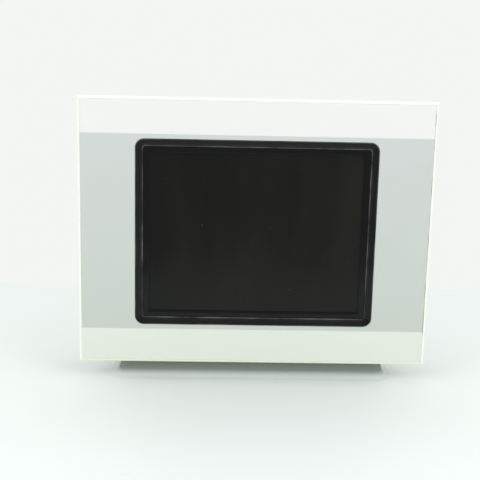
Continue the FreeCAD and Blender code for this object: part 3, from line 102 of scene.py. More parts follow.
def edge_mask(tree, radius):
    """1 along sharp edges and 0 on flats: how far a bevelled normal leans from the true one."""
    soft = add(tree, "ShaderNodeBevel", {"Radius": radius * MM}, samples=4).outputs[0]
    true = add(tree, "ShaderNodeNewGeometry").outputs["Normal"]
    lean = add(tree, "ShaderNodeVectorMath", {0: soft, 1: true}, operation="DOT_PRODUCT").outputs["Value"]
    return add(tree, "ShaderNodeMapRange", {"Value": lean, 1: 0.995, 2: 0.88, 3: 0.0, 4: 1.0}).outputs[0]


def powder_coat(name, colour, shade, wear_and_highlight, gloss, peel, film="#ffffff"):
    """Powder coat on a casting: baked polyester skin with orange peel, worn thin along its edges, with
    painted shade and a painted warm reflection tinting the faces that look down.
    Eye: even colour, broad soft highlight broken up by the peel, paler corners, a painted warmer, darker
    underside."""
    material, tree, shader, place = start(name, gloss, Coat_Weight=0.08, Coat_Roughness=0.25)
    cloud = add(tree, "ShaderNodeTexNoise", {"Vector": place, "Scale": 1 / 45, "Detail": 3.0}).outputs[0]
    skin = add(tree, "ShaderNodeMix", {0: cloud, 6: linear(colour), 7: linear(shade)},
               data_type="RGBA").outputs[2]
    rub_and_highlight = add(tree, "ShaderNodeTexNoise", {"Vector": place, "Scale": 1 / 3.0, "Detail": 5.0}).outputs[0]
    broken = add(tree, "ShaderNodeMapRange", {"Value": rub_and_highlight, 1: 0.45, 2: 0.65}).outputs[0]
    wear = add(tree, "ShaderNodeMath", {0: edge_mask(tree, 0.5), 1: broken}, operation="MULTIPLY").outputs[0]
    clean = add(tree, "ShaderNodeMix", {0: wear, 6: skin, 7: linear(wear_and_highlight)}, data_type="RGBA").outputs[2]
    # Painted reflection and shade: faces that look down are multiplied by the film colour, warmer and a
    # little darker.
    facing = add(tree, "ShaderNodeSeparateXYZ", {0: add(tree, "ShaderNodeNewGeometry").outputs["Normal"]})
    under = add(tree, "ShaderNodeMapRange", {"Value": facing.outputs["Z"], 1: -0.2, 2: -0.7}).outputs[0]
    painted_underside_tint = add(tree, "ShaderNodeMix", {0: under, 6: (1, 1, 1, 1), 7: linear(film)},
                 data_type="RGBA").outputs[2]
    whole = add(tree, "ShaderNodeVectorMath", {0: clean, 1: painted_underside_tint}, operation="MULTIPLY").outputs[0]
    bumps = add(tree, "ShaderNodeTexNoise", {"Vector": place, "Scale": 1 / peel, "Detail": 2.0}).outputs[0]
    relief = add(tree, "ShaderNodeBump",
                 {"Height": bumps, "Strength": 0.12, "Distance": 0.05 * MM}).outputs[0]
    matt = add(tree, "ShaderNodeMapRange",
               {"Value": rub_and_highlight, 1: 0.3, 2: 0.7, 3: gloss - 0.05, 4: gloss + 0.07})
    tree.links.new(whole, shader.inputs["Base Color"])
    tree.links.new(relief, shader.inputs["Normal"])
    tree.links.new(matt.outputs[0], shader.inputs["Roughness"])
    return material


def dress(material, *names):
    """Gives carried-over nodes their material."""
    for name in names:
        nodes[name].material_slots[0].material = material


# The last colour paints a warm reflection and shade on the plate's faces that look down.
dress(powder_coat("powder_coated_front", "#fbfbf5", "#f5f6ea", "#fffffc", 0.3, 0.9, "#f4f6e0"),
      "front_plate")


# ------------------------------------------------------------------ front overlay
# Polyester sheet printed on its back, die-cut round the window and glued into the plate's
# recess: light bands at top and bottom, a greyer band behind the display, a velvet face.

OVERLAY_LIGHT = "#ebf0e9"
OVERLAY_GREY = "#cdd5d0"
# Painted shade: colour multipliers at the top and at the foot of the sheet, darker and warmer towards the
# bottom.
PAINTED_LIGHT_TOP = (1.035, 0.985, 1.05, 1)
PAINTED_SHADE_FOOT = (0.915, 0.91, 0.895, 1)
WINDOW = (238.6, 187.4, 9.0)
GREY_BAND_HALF = 98.2
# Heights between which the painted shade runs from the top colour to the foot colour.
SHADE_FROM, SHADE_TO = 110.0, -110.0
# Painted shadow line with grime along the sheet's right-hand joint with the rim: where it starts inside the
# side and where it is full.
JOINT_SHADE_FROM, JOINT_SHADE_TO = 0.9, 0.2
GLUE_MARGIN = 5.0


def outline(width, height, radius, per_side=36, per_corner=10):
    """Points round a rectangle with quarter-circle corners, with evenly spaced points on each side."""
    angle = np.arange(4)[:, None] * np.pi / 2 + np.linspace(0, np.pi / 2, per_corner)
    centre_x = (width / 2 - radius) * np.array([1, -1, -1, 1])[:, None]
    centre_z = (height / 2 - radius) * np.array([1, 1, -1, -1])[:, None]
    corner = np.stack([centre_x + radius * np.cos(angle), centre_z + radius * np.sin(angle)], -1)
    ahead = np.roll(corner[:, :1], -1, axis=0)
    share = np.linspace(0, 1, per_side + 2)[1:-1][None, :, None]
    side = corner[:, -1:] * (1 - share) + ahead * share
    return np.concatenate([corner, side], axis=1).reshape(-1, 2)


def ring_row(width, height, radius, y):
    """One row of a frame-shaped surface: a round-cornered rectangle at a depth y, in millimetres."""
    flat = outline(width, height, radius)
    return np.stack([flat[:, 0], np.broadcast_to(y, len(flat)), flat[:, 1]], -1)


def woven(name, grids, material, round_rows=False, sharp=40):
    """Makes one object from grids of points in millimetres.  Neighbouring rows and columns are joined by
    quads, and the last column to the first.  round_rows joins the last row to the first too; otherwise
    both end rows are closed by a flat face.  Faces are turned so that each grid's volume is positive."""
    points, faces, count = [], [], 0
    for grid in grids:
        rows, columns = grid.shape[:2]
        index = np.arange(rows * columns).reshape(rows, columns)
        ahead = np.roll(index, -1, axis=1)
        last = rows if round_rows else rows - 1
        below = np.roll(index, -1, axis=0)[:last]
        quads = np.stack([index[:last], ahead[:last], np.roll(below, -1, axis=1), below], -1).reshape(-1, 4)
        flat = grid.reshape(-1, 3)
        a, b, c, d = (flat[quads[:, corner]] for corner in range(4))
        middle = flat.mean(axis=0)
        volume = np.einsum("ij,ij->i", a - middle, np.cross(b - middle, c - middle)).sum()
        volume += np.einsum("ij,ij->i", a - middle, np.cross(c - middle, d - middle)).sum()
        made = quads.tolist()
        if not round_rows:
            made += [index[0][::-1].tolist(), index[-1].tolist()]
        if volume < 0:
            made = [face[::-1] for face in made]
        faces += [[corner + count for corner in face] for face in made]
        points.append(flat * MM)
        count += len(flat)
    mesh = bpy.data.meshes.new(name)
    mesh.from_pydata(np.concatenate(points), [], faces)
    mesh.polygons.foreach_set("use_smooth", [True] * len(mesh.polygons))
    mesh.set_sharp_from_angle(angle=math.radians(sharp))
    mesh.materials.append(material)
    piece = bpy.data.objects.new(name, mesh)
    bpy.context.scene.collection.objects.link(piece)
    return piece


def fitted(piece, body):
    """Lets a piece ride on a body."""
    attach(piece, body)
    return piece


def overlay_sheet():
    """Grid between the window's outline and the sheet's: straight lines from one to the other, with a
    shallow dip where the glue stops and a long low wave, as thin sheet has on a casting."""
    low, high = (np.array(corner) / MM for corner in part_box("front_overlay"))
    width, height = high[0] - low[0], high[2] - low[2]
    inner = ring_row(*WINDOW, 0.0)
    outer = ring_row(width, height, 0.6, 0.0)
    share = np.concatenate([[0, 0.006], np.linspace(0.03, 0.85, 12),
                            [0.88, 0.9, 0.92, 0.94, 0.96, 0.98, 0.997, 1]])
    front = inner[None] + (outer - inner)[None] * share[:, None, None]
    x, z = front[..., 0], front[..., 2]
    to_edge = np.minimum(width / 2 - np.abs(x), height / 2 - np.abs(z))
    glue = 0.05 * np.exp(-((to_edge - GLUE_MARGIN) / 1.2) ** 2)
    wave = 0.02 * (1 + np.sin(x / 23 + 1.3) * np.sin(z / 31 + 0.4))
    lip = 0.12 * np.exp(-(to_edge / 0.25) ** 2) + 0.1 * (share[:, None] == 0)
    front[..., 1] = low[1] + glue + wave + lip
    back = np.stack([outer, inner])
    back[..., 1] = high[1]
    return np.concatenate([front, back])


def printed_polyester():
    """Velvet-faced polyester over second-surface print, darker and warmer towards its foot by painted shade,
    with a painted shadow line and grime along its right-hand joint.
    Eye: two quiet greys with a crisp printed step, a soft sheen, very fine texture, faint scuffs."""
    material, tree, shader, place = start("printed_polyester_overlay", 0.42, Coat_Weight=0.15,
                                          Coat_Roughness=0.3)
    axes = add(tree, "ShaderNodeSeparateXYZ", {0: place})
    level = add(tree, "ShaderNodeMath", {0: axes.outputs["Z"]}, operation="ABSOLUTE").outputs[0]
    band = add(tree, "ShaderNodeMapRange",
               {"Value": level, 1: GREY_BAND_HALF - 0.25, 2: GREY_BAND_HALF + 0.25})
    ink = add(tree, "ShaderNodeMix", {0: band.outputs[0], 6: linear(OVERLAY_GREY), 7: linear(OVERLAY_LIGHT)},
              data_type="RGBA").outputs[2]
    cloud = add(tree, "ShaderNodeTexNoise", {"Vector": place, "Scale": 1 / 60, "Detail": 4.0}).outputs[0]
    tone = add(tree, "ShaderNodeMapRange", {"Value": cloud, 1: 0.3, 2: 0.7, 3: 0.985, 4: 1.0}).outputs[0]
    # Painted shade: the print is scaled darker and warmer from the sheet's top towards its foot.
    height = add(tree, "ShaderNodeMapRange",
                 {"Value": axes.outputs["Z"], 1: SHADE_FROM, 2: SHADE_TO}).outputs[0]
    painted_shade = add(tree, "ShaderNodeMix", {0: height, 6: PAINTED_LIGHT_TOP, 7: PAINTED_SHADE_FOOT}, data_type="RGBA").outputs[2]
    printed = add(tree, "ShaderNodeVectorMath", {0: ink, 1: painted_shade}, operation="MULTIPLY").outputs[0]
    toned = add(tree, "ShaderNodeVectorMath", {0: printed, "Scale": tone}, operation="SCALE").outputs[0]
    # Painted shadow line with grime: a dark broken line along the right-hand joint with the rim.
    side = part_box("front_overlay")[1].x / MM
    joint = add(tree, "ShaderNodeMapRange",
                {"Value": axes.outputs["X"], 1: side - JOINT_SHADE_FROM, 2: side - JOINT_SHADE_TO}).outputs[0]
    patchy = add(tree, "ShaderNodeTexNoise", {"Vector": place, "Scale": 1 / 16, "Detail": 3.0}).outputs[0]
    grime = add(tree, "ShaderNodeMapRange", {"Value": patchy, 1: 0.46, 2: 0.6, 3: 0.0, 4: 0.75}).outputs[0]
    joint_shade_and_grime = add(tree, "ShaderNodeMath", {0: joint, 1: grime}, operation="MULTIPLY").outputs[0]
    tinted = add(tree, "ShaderNodeMix", {0: joint_shade_and_grime, 6: toned, 7: linear("#6f6e62")},
                 data_type="RGBA").outputs[2]
    stretched = add(tree, "ShaderNodeMapping", {0: place, "Scale": (0.03, 1, 0.9)}).outputs[0]
    scuff = add(tree, "ShaderNodeTexNoise", {"Vector": stretched, "Scale": 1.0, "Detail": 6.0}).outputs[0]
    matt = add(tree, "ShaderNodeMapRange", {"Value": scuff, 1: 0.35, 2: 0.7, 3: 0.38, 4: 0.5}).outputs[0]
    velvet = add(tree, "ShaderNodeTexNoise", {"Vector": place, "Scale": 1 / 0.35, "Detail": 2.0}).outputs[0]
    relief = add(tree, "ShaderNodeBump",
                 {"Height": velvet, "Strength": 0.08, "Distance": 0.02 * MM}).outputs[0]
    tree.links.new(tinted, shader.inputs["Base Color"])
    tree.links.new(matt, shader.inputs["Roughness"])
    tree.links.new(relief, shader.inputs["Normal"])
    return material


overlay = woven("overlay_sheet", [overlay_sheet()], printed_polyester(), round_rows=True)
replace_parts(fitted(overlay, "panel"), "front_overlay")


# ------------------------------------------------------------------ display ring
# Black ring between the overlay and the screen, injection moulded in glossy ABS: a slope down to
# a crease, a short step, and a flat border.  It is clipped in from behind the plate.

def moulded(name, colour, pale, gloss, grain, depth=0.03):
    """Spark-textured injection moulding.
    Eye: deep even colour, dull broken highlights, edges polished a little paler by handling."""
    material, tree, shader, place = start(name, gloss, IOR=1.54)
    cloud = add(tree, "ShaderNodeTexNoise", {"Vector": place, "Scale": 1 / 14, "Detail": 4.0}).outputs[0]
    dust = add(tree, "ShaderNodeMapRange", {"Value": cloud, 1: 0.42, 2: 0.8, 3: 0.0, 4: 0.35}).outputs[0]
    wear_and_highlight = add(tree, "ShaderNodeMath", {0: edge_mask(tree, 0.3), 1: 0.55}, operation="MULTIPLY").outputs[0]
    either = add(tree, "ShaderNodeMath", {0: dust, 1: wear_and_highlight}, operation="MAXIMUM").outputs[0]
    whole = add(tree, "ShaderNodeMix", {0: either, 6: linear(colour), 7: linear(pale)},
                data_type="RGBA").outputs[2]
    pits = add(tree, "ShaderNodeTexNoise", {"Vector": place, "Scale": 1 / grain, "Detail": 3.0}).outputs[0]
    relief = add(tree, "ShaderNodeBump",
                 {"Height": pits, "Strength": 0.25, "Distance": depth * MM}).outputs[0]
    matt = add(tree, "ShaderNodeMapRange", {"Value": cloud, 1: 0.3, 2: 0.7, 3: gloss - 0.06, 4: gloss + 0.08})
    tree.links.new(whole, shader.inputs["Base Color"])
    tree.links.new(relief, shader.inputs["Normal"])
    tree.links.new(matt.outputs[0], shader.inputs["Roughness"])
    return material


CREASE = (7.15, 2.2)
BROW = (0.08, 0.18)


def ring_profile():
    """The ring's section as (inset from the nose's outline, depth behind the plate's face), going round it:
    brow, slope, crease, step, border, lip, back, flange.  Every turn the eye meets is a small arc."""
    brow = np.radians([180, 150, 120, 90])
    crease = np.radians([106, 85, 55, 25, 0])
    lip = np.radians([90, 45, 0])
    return np.concatenate([
        [[0.0, 2.7], [0.0, 0.45]],
        np.stack([0.3 + 0.3 * np.cos(brow), 0.4 - 0.3 * np.sin(brow)], -1),
        [[0.5, 0.1], [0.62, 0.13], [1.2, 0.316], [3.8, 1.15], [6.4, 1.97]],
        np.stack([6.95 + 0.35 * np.cos(crease), 2.45 - 0.35 * np.sin(crease)], -1),
        [[7.38, 2.95], [7.55, 3.15], [7.9, 3.2], [10.5, 3.2]],
        np.stack([13.4 + 0.3 * np.cos(lip), 3.5 - 0.3 * np.sin(lip)], -1),
        [[13.7, 4.0], [5.0, 4.0], [-5.7, 4.0], [-5.7, 2.8], [-0.2, 2.8]],
    ])


def display_ring():
    """Carries the ring's section round the window.  The corner radius falls from 8.8 at the nose to
    2.5 at the crease and 2 at the lip, as straight lines between those."""
    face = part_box("front_plate")[0].y / MM
    inset, depth = ring_profile().T
    radius = np.interp(inset, [-5.7, 0, 0.5, 7.3, 13.7], [5.8, 8.8, 8.3, 2.5, 2.0])
    width, height = WINDOW[0] - 0.4, WINDOW[1] - 0.4
    return np.stack([ring_row(width - 2 * i, height - 2 * i, r, face + d)
                     for i, d, r in zip(inset, depth, radius)])


def ring_gloss():
    """Black ABS from a polished mould, with a painted highlight along the crease and the brow.
    Eye: near-black, a broken painted highlight along the crease, slopes mirroring the table, dust in the
    corners."""
    material, tree, shader, place = start("glossy_black_abs", 0.2, IOR=1.5, Specular_IOR_Level=0.24)
    cloud = add(tree, "ShaderNodeTexNoise", {"Vector": place, "Scale": 1 / 25, "Detail": 4.0}).outputs[0]
    grit = add(tree, "ShaderNodeTexNoise", {"Vector": place, "Scale": 1 / 0.9, "Detail": 3.0}).outputs[0]
    fleck = add(tree, "ShaderNodeMapRange", {"Value": grit, 1: 0.68, 2: 0.76, 3: 0.0, 4: 0.3}).outputs[0]
    # Painted highlight: a pale line along the crease and the brow, read from the section's attribute and
    # broken up by noise.
    edge = add(tree, "ShaderNodeAttribute", attribute_name="rub_and_highlight").outputs["Fac"]
    gaps = add(tree, "ShaderNodeMapRange", {"Value": cloud, 1: 0.35, 2: 0.65, 3: 0.06, 4: 0.42}).outputs[0]
    wear_and_highlight = add(tree, "ShaderNodeMath", {0: edge, 1: gaps}, operation="MULTIPLY").outputs[0]
    pale = add(tree, "ShaderNodeMath", {0: fleck, 1: wear_and_highlight}, operation="MAXIMUM").outputs[0]
    whole = add(tree, "ShaderNodeMix", {0: pale, 6: linear("#090a0a"), 7: linear("#a4aaa8")},
                data_type="RGBA")
    flow = add(tree, "ShaderNodeBump", {"Height": cloud, "Strength": 0.15, "Distance": 0.3 * MM}).outputs[0]
    relief = add(tree, "ShaderNodeBump",
                 {"Height": grit, "Strength": 0.06, "Distance": 0.02 * MM, "Normal": flow})
    matt = add(tree, "ShaderNodeMapRange", {"Value": cloud, 1: 0.3, 2: 0.7, 3: 0.1, 4: 0.24}).outputs[0]
    tree.links.new(whole.outputs[2], shader.inputs["Base Color"])
    tree.links.new(relief.outputs[0], shader.inputs["Normal"])
    tree.links.new(matt, shader.inputs["Roughness"])
    return material


def paint_crease_highlight(piece):
    """Attribute from 0 to 1 for the material: the painted highlight along the section.  It is 1 on the
    crease and the brow of the section and falls off over half a millimetre."""
    rows = ring_profile()
    highlighted = [np.exp(-((rows - spot) ** 2).sum(axis=1) / 0.25) for spot in (CREASE, BROW)]
    level = np.maximum(*highlighted)
    per_row = len(piece.data.vertices) // len(rows)
    layer = piece.data.attributes.new("rub_and_highlight", "FLOAT", "POINT")
    layer.data.foreach_set("value", np.repeat(level, per_row).astype(np.float32))


ring = woven("display_ring", [display_ring()], ring_gloss(), round_rows=True, sharp=60)
paint_crease_highlight(ring)
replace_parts(fitted(ring, "panel"), "display_frame")


# ------------------------------------------------------------------ touch glass and display module
# Resistive touch glass with a hard anti-glare coat over the unlit display, held in foam.  The
# display behind it is a stamped can with cell, film, light guide, lamps and tray.

def touch_glass():
    """Anti-glare hard coat over two sheets of glass and a switched-off display.
    Eye: near-black with a soft grey veil, faint smears from fingers, a few specks of dust."""
    material, tree, shader, place = start("anti_glare_touch_glass", 0.2, IOR=1.5, Specular_IOR_Level=0.2)
    wiped = add(tree, "ShaderNodeMapping", {0: place, "Scale": (1, 1, 0.35)}).outputs[0]
    smear = add(tree, "ShaderNodeTexNoise", {"Vector": wiped, "Scale": 1 / 60, "Detail": 3.0})
    veil = add(tree, "ShaderNodeMapRange", {"Value": smear.outputs[0], 1: 0.35, 2: 0.75}).outputs[0]
    body = add(tree, "ShaderNodeMix", {0: veil, 6: linear("#10110e"), 7: linear("#1b1b17")},
               data_type="RGBA").outputs[2]
    cells = add(tree, "ShaderNodeTexVoronoi", {"Vector": place, "Scale": 1 / 14}).outputs["Distance"]
    speck = add(tree, "ShaderNodeMapRange", {"Value": cells, 1: 0.03, 2: 0.018, 3: 0.0, 4: 0.55}).outputs[0]
    dusty = add(tree, "ShaderNodeMix", {0: speck, 6: body, 7: linear("#8f928a")}, data_type="RGBA").outputs[2]
    matt = add(tree, "ShaderNodeMapRange",
               {"Value": smear.outputs[0], 1: 0.3, 2: 0.7, 3: 0.16, 4: 0.3}).outputs[0]
    etch = add(tree, "ShaderNodeTexNoise", {"Vector": place, "Scale": 1 / 0.3, "Detail": 1.0}).outputs[0]
    relief = add(tree, "ShaderNodeBump", {"Height": etch, "Strength": 0.04, "Distance": 0.01 * MM}).outputs[0]
    tree.links.new(dusty, shader.inputs["Base Color"])
    tree.links.new(matt, shader.inputs["Roughness"])
    tree.links.new(relief, shader.inputs["Normal"])
    return material


def rubber_foam(name, colour, pale, cell):
    """Closed-cell foam.  Eye: dull, pitted by cut cells, a little dusty."""
    material, tree, shader, place = start(name, 0.85)
    cells = add(tree, "ShaderNodeTexVoronoi", {"Vector": place, "Scale": 1 / cell}).outputs["Distance"]
    cloud = add(tree, "ShaderNodeTexNoise", {"Vector": place, "Scale": 1 / 8, "Detail": 3.0}).outputs[0]
    whole = add(tree, "ShaderNodeMix", {0: cloud, 6: linear(colour), 7: linear(pale)},
                data_type="RGBA").outputs[2]
    relief = add(tree, "ShaderNodeBump", {"Height": cells, "Strength": 0.5, "Distance": 0.2 * MM}).outputs[0]
    tree.links.new(whole, shader.inputs["Base Color"])
    tree.links.new(relief, shader.inputs["Normal"])
    return material


def clear_sheet(name, colour, pale, gloss):
    """Acrylic, film or tube glass inside the display.  Eye: milky, smooth, faintly streaked."""
    material, tree, shader, place = start(name, gloss, Coat_Weight=0.4)
    streak = add(tree, "ShaderNodeMapping", {0: place, "Scale": (0.01, 0.1, 0.3)}).outputs[0]
    flow = add(tree, "ShaderNodeTexNoise", {"Vector": streak, "Scale": 1.0, "Detail": 3.0}).outputs[0]
    whole = add(tree, "ShaderNodeMix", {0: flow, 6: linear(colour), 7: linear(pale)},
                data_type="RGBA").outputs[2]
    relief = add(tree, "ShaderNodeBump", {"Height": flow, "Strength": 0.05, "Distance": 0.02 * MM}).outputs[0]
    tree.links.new(whole, shader.inputs["Base Color"])
    tree.links.new(relief, shader.inputs["Normal"])
    return material


def rolled_metal(name, colour, shade, gloss, line, direction):
    """Bright rolled or drawn metal.  Eye: fine lines along the rolling direction, slight tarnish."""
    material, tree, shader, place = start(name, gloss, metallic=1.0)
    drawn = add(tree, "ShaderNodeMapping", {0: place, "Scale": direction}).outputs[0]
    lines = add(tree, "ShaderNodeTexNoise", {"Vector": drawn, "Scale": 1 / line, "Detail": 4.0}).outputs[0]
    cloud = add(tree, "ShaderNodeTexNoise", {"Vector": place, "Scale": 1 / 18, "Detail": 4.0}).outputs[0]
    whole = add(tree, "ShaderNodeMix", {0: cloud, 6: linear(colour), 7: linear(shade)},
                data_type="RGBA").outputs[2]
    matt = add(tree, "ShaderNodeMapRange", {"Value": lines, 1: 0.3, 2: 0.7, 3: gloss - 0.08, 4: gloss + 0.12})
    relief = add(tree, "ShaderNodeBump",
                 {"Height": lines, "Strength": 0.15, "Distance": 0.02 * MM}).outputs[0]
    tree.links.new(whole, shader.inputs["Base Color"])
    tree.links.new(matt.outputs[0], shader.inputs["Roughness"])
    tree.links.new(relief, shader.inputs["Normal"])
    return material


def striped_flex(name, base, stripe, pitch, gloss):
    """Flat conductors side by side under film.  Eye: even stripes along the cable, satin film over them."""
    material, tree, shader, place = start(name, gloss, Coat_Weight=0.3)
    across = add(tree, "ShaderNodeSeparateXYZ", {0: place}).outputs["X"]
    turns = add(tree, "ShaderNodeMath", {0: across, 1: 2 * math.pi / pitch}, operation="MULTIPLY").outputs[0]
    wave = add(tree, "ShaderNodeMath", {0: turns}, operation="SINE").outputs[0]
    metal = add(tree, "ShaderNodeMapRange", {"Value": wave, 1: -0.2, 2: 0.3}).outputs[0]
    whole = add(tree, "ShaderNodeMix", {0: metal, 6: linear(base), 7: linear(stripe)},
                data_type="RGBA").outputs[2]
    relief = add(tree, "ShaderNodeBump", {"Height": wave, "Strength": 0.3, "Distance": 0.05 * MM}).outputs[0]
    tree.links.new(whole, shader.inputs["Base Color"])
    tree.links.new(relief, shader.inputs["Normal"])
    return material


dress(touch_glass(), "touch_sensor")
dress(rubber_foam("black_foam", "#141414", "#232321", 0.5), "touch_gasket", "lcd_gasket")
dress(striped_flex("polyimide_tail", "#a8641c", "#c98f45", 1.0, 0.3), "touch_tail")
dress(striped_flex("grey_flat_cable", "#8d8f93", "#a8aaad", 1.27, 0.4), "lcd_cable")
dress(rolled_metal("stainless_can", "#c9c9c6", "#b4b5b3", 0.28, 0.3, (0.02, 1, 1)), "lcd_front_frame",
      "card_ejector")
dress(clear_sheet("liquid_crystal_cell", "#10120f", "#191b1c", 0.1), "lcd_glass")
dress(clear_sheet("diffuser_film", "#eceeea", "#dfe3e0", 0.5), "lcd_diffuser")
dress(clear_sheet("acrylic_light_guide", "#dfe9e4", "#cfdcd8", 0.08), "lcd_light_guide")
dress(clear_sheet("phosphor_tube", "#f2f1ea", "#e6e4da", 0.12), "lcd_lamps")
dress(moulded("white_polycarbonate", "#e9e9e4", "#f6f6f2", 0.4, 0.8), "lcd_rear_tray")


# ------------------------------------------------------------------ sheet-metal parts and their fasteners
# Galvanised steel sheet, punched and folded: clips, chassis plate and rear cover.  The screws are
# steel with a thin zinc plating, the pillars nickel-plated brass.

def galvanised(name, spangle, bright, dull):
    """Hot-dip galvanised sheet.  Eye: patchwork of zinc crystals, each its own grey, with dull roller
    marks over them and brighter cut edges."""
    material, tree, shader, place = start(name, 0.4, metallic=1.0)
    bent = add(tree, "ShaderNodeTexNoise", {"Vector": place, "Scale": 1 / 6, "Detail": 2.0}).outputs["Color"]
    moved = add(tree, "ShaderNodeMix", {0: 0.12, 4: place, 5: bent}, data_type="VECTOR").outputs[1]
    cells = add(tree, "ShaderNodeTexVoronoi", {"Vector": moved, "Scale": 1 / spangle}).outputs["Color"]
    grey = add(tree, "ShaderNodeSeparateColor", {0: cells}).outputs[0]
    whole = add(tree, "ShaderNodeMix", {0: grey, 6: linear(dull), 7: linear(bright)},
                data_type="RGBA").outputs[2]
    roller = add(tree, "ShaderNodeMapping", {0: place, "Scale": (0.02, 1, 0.8)}).outputs[0]
    marks = add(tree, "ShaderNodeTexNoise", {"Vector": roller, "Scale": 1.0, "Detail": 5.0}).outputs[0]
    cloudy = add(tree, "ShaderNodeMath", {0: grey, 1: marks}, operation="ADD").outputs[0]
    matt = add(tree, "ShaderNodeMapRange", {"Value": cloudy, 1: 0.3, 2: 1.6, 3: 0.3, 4: 0.52}).outputs[0]
    relief = add(tree, "ShaderNodeBump", {"Height": marks, "Strength": 0.1, "Distance": 0.04 * MM}).outputs[0]
    cut = add(tree, "ShaderNodeMix", {0: edge_mask(tree, 0.25), 6: whole, 7: linear("#d9dad8")},
              data_type="RGBA")
    tree.links.new(cut.outputs[2], shader.inputs["Base Color"])
    tree.links.new(matt, shader.inputs["Roughness"])
    tree.links.new(relief, shader.inputs["Normal"])
    return material


def plated(name, colour, stain, gloss, grain):
    """Barrel-plated small parts.  Eye: bright, slightly clouded, with handling marks."""
    material, tree, shader, place = start(name, gloss, metallic=1.0)
    cloud = add(tree, "ShaderNodeTexNoise", {"Vector": place, "Scale": 1 / 2.2, "Detail": 5.0}).outputs[0]
    patch = add(tree, "ShaderNodeMapRange", {"Value": cloud, 1: 0.4, 2: 0.7}).outputs[0]
    whole = add(tree, "ShaderNodeMix", {0: patch, 6: linear(colour), 7: linear(stain)},
                data_type="RGBA").outputs[2]
    dents = add(tree, "ShaderNodeTexNoise", {"Vector": place, "Scale": 1 / grain, "Detail": 3.0}).outputs[0]
    relief = add(tree, "ShaderNodeBump", {"Height": dents, "Strength": 0.2, "Distance": 0.03 * MM}).outputs[0]
    matt = add(tree, "ShaderNodeMapRange", {"Value": cloud, 1: 0.3, 2: 0.7, 3: gloss - 0.06, 4: gloss + 0.1})
    tree.links.new(whole, shader.inputs["Base Color"])
    tree.links.new(relief, shader.inputs["Normal"])
    tree.links.new(matt.outputs[0], shader.inputs["Roughness"])
    return material


ZINC = plated("zinc_plated_steel", "#c9ccca", "#b3b0a0", 0.26, 0.4)
NICKEL = plated("nickel_plated_brass", "#d2cdbd", "#beb7a2", 0.2, 0.5)
TIN = plated("tinned_steel", "#cfd0cc", "#bdbeb8", 0.24, 0.6)
GOLD = plated("gold_flash", "#e3bd6a", "#d0a653", 0.18, 0.4)
dress(galvanised("galvanised_sheet", 7.0, "#c4c7c6", "#a9adad"), "lcd_brackets", "chassis_plate")
dress(galvanised("galvanised_cover", 9.0, "#c6c9c8", "#acb0b0"), "rear_cover")
dress(ZINC, "housing_screws", "cover_screws", "chassis_screws", "plug_screws", "jackscrews", "earth_nut")
dress(NICKEL, "chassis_standoffs", "board_standoffs")


# ------------------------------------------------------------------ rear housing
# Die-cast box behind the plate, with the clamp notches, the webs that hold the clamp screws and
# the windows for the sockets.  It is powder coated in a mid grey, with a coarser peel than the front.

dress(powder_coat("powder_coated_housing", "#6f7573", "#676d6b", "#a9adab", 0.46, 1.4), "rear_housing")
dress(rubber_foam("black_panel_gasket", "#1b1c1c", "#2b2c2b", 0.7), "panel_gasket")


# ------------------------------------------------------------------ swing clamps
# Claws cast in zinc and tumbled, each threaded on a long plated screw that turns in its two webs.
# The rolled thread lies between the webs, and the claw rides on it.  It is relief in the screw's finish.

THREAD_PITCH = 0.7
THREAD_FROM, THREAD_TO = 7.6, 43.4
RUN_OUT = 0.7


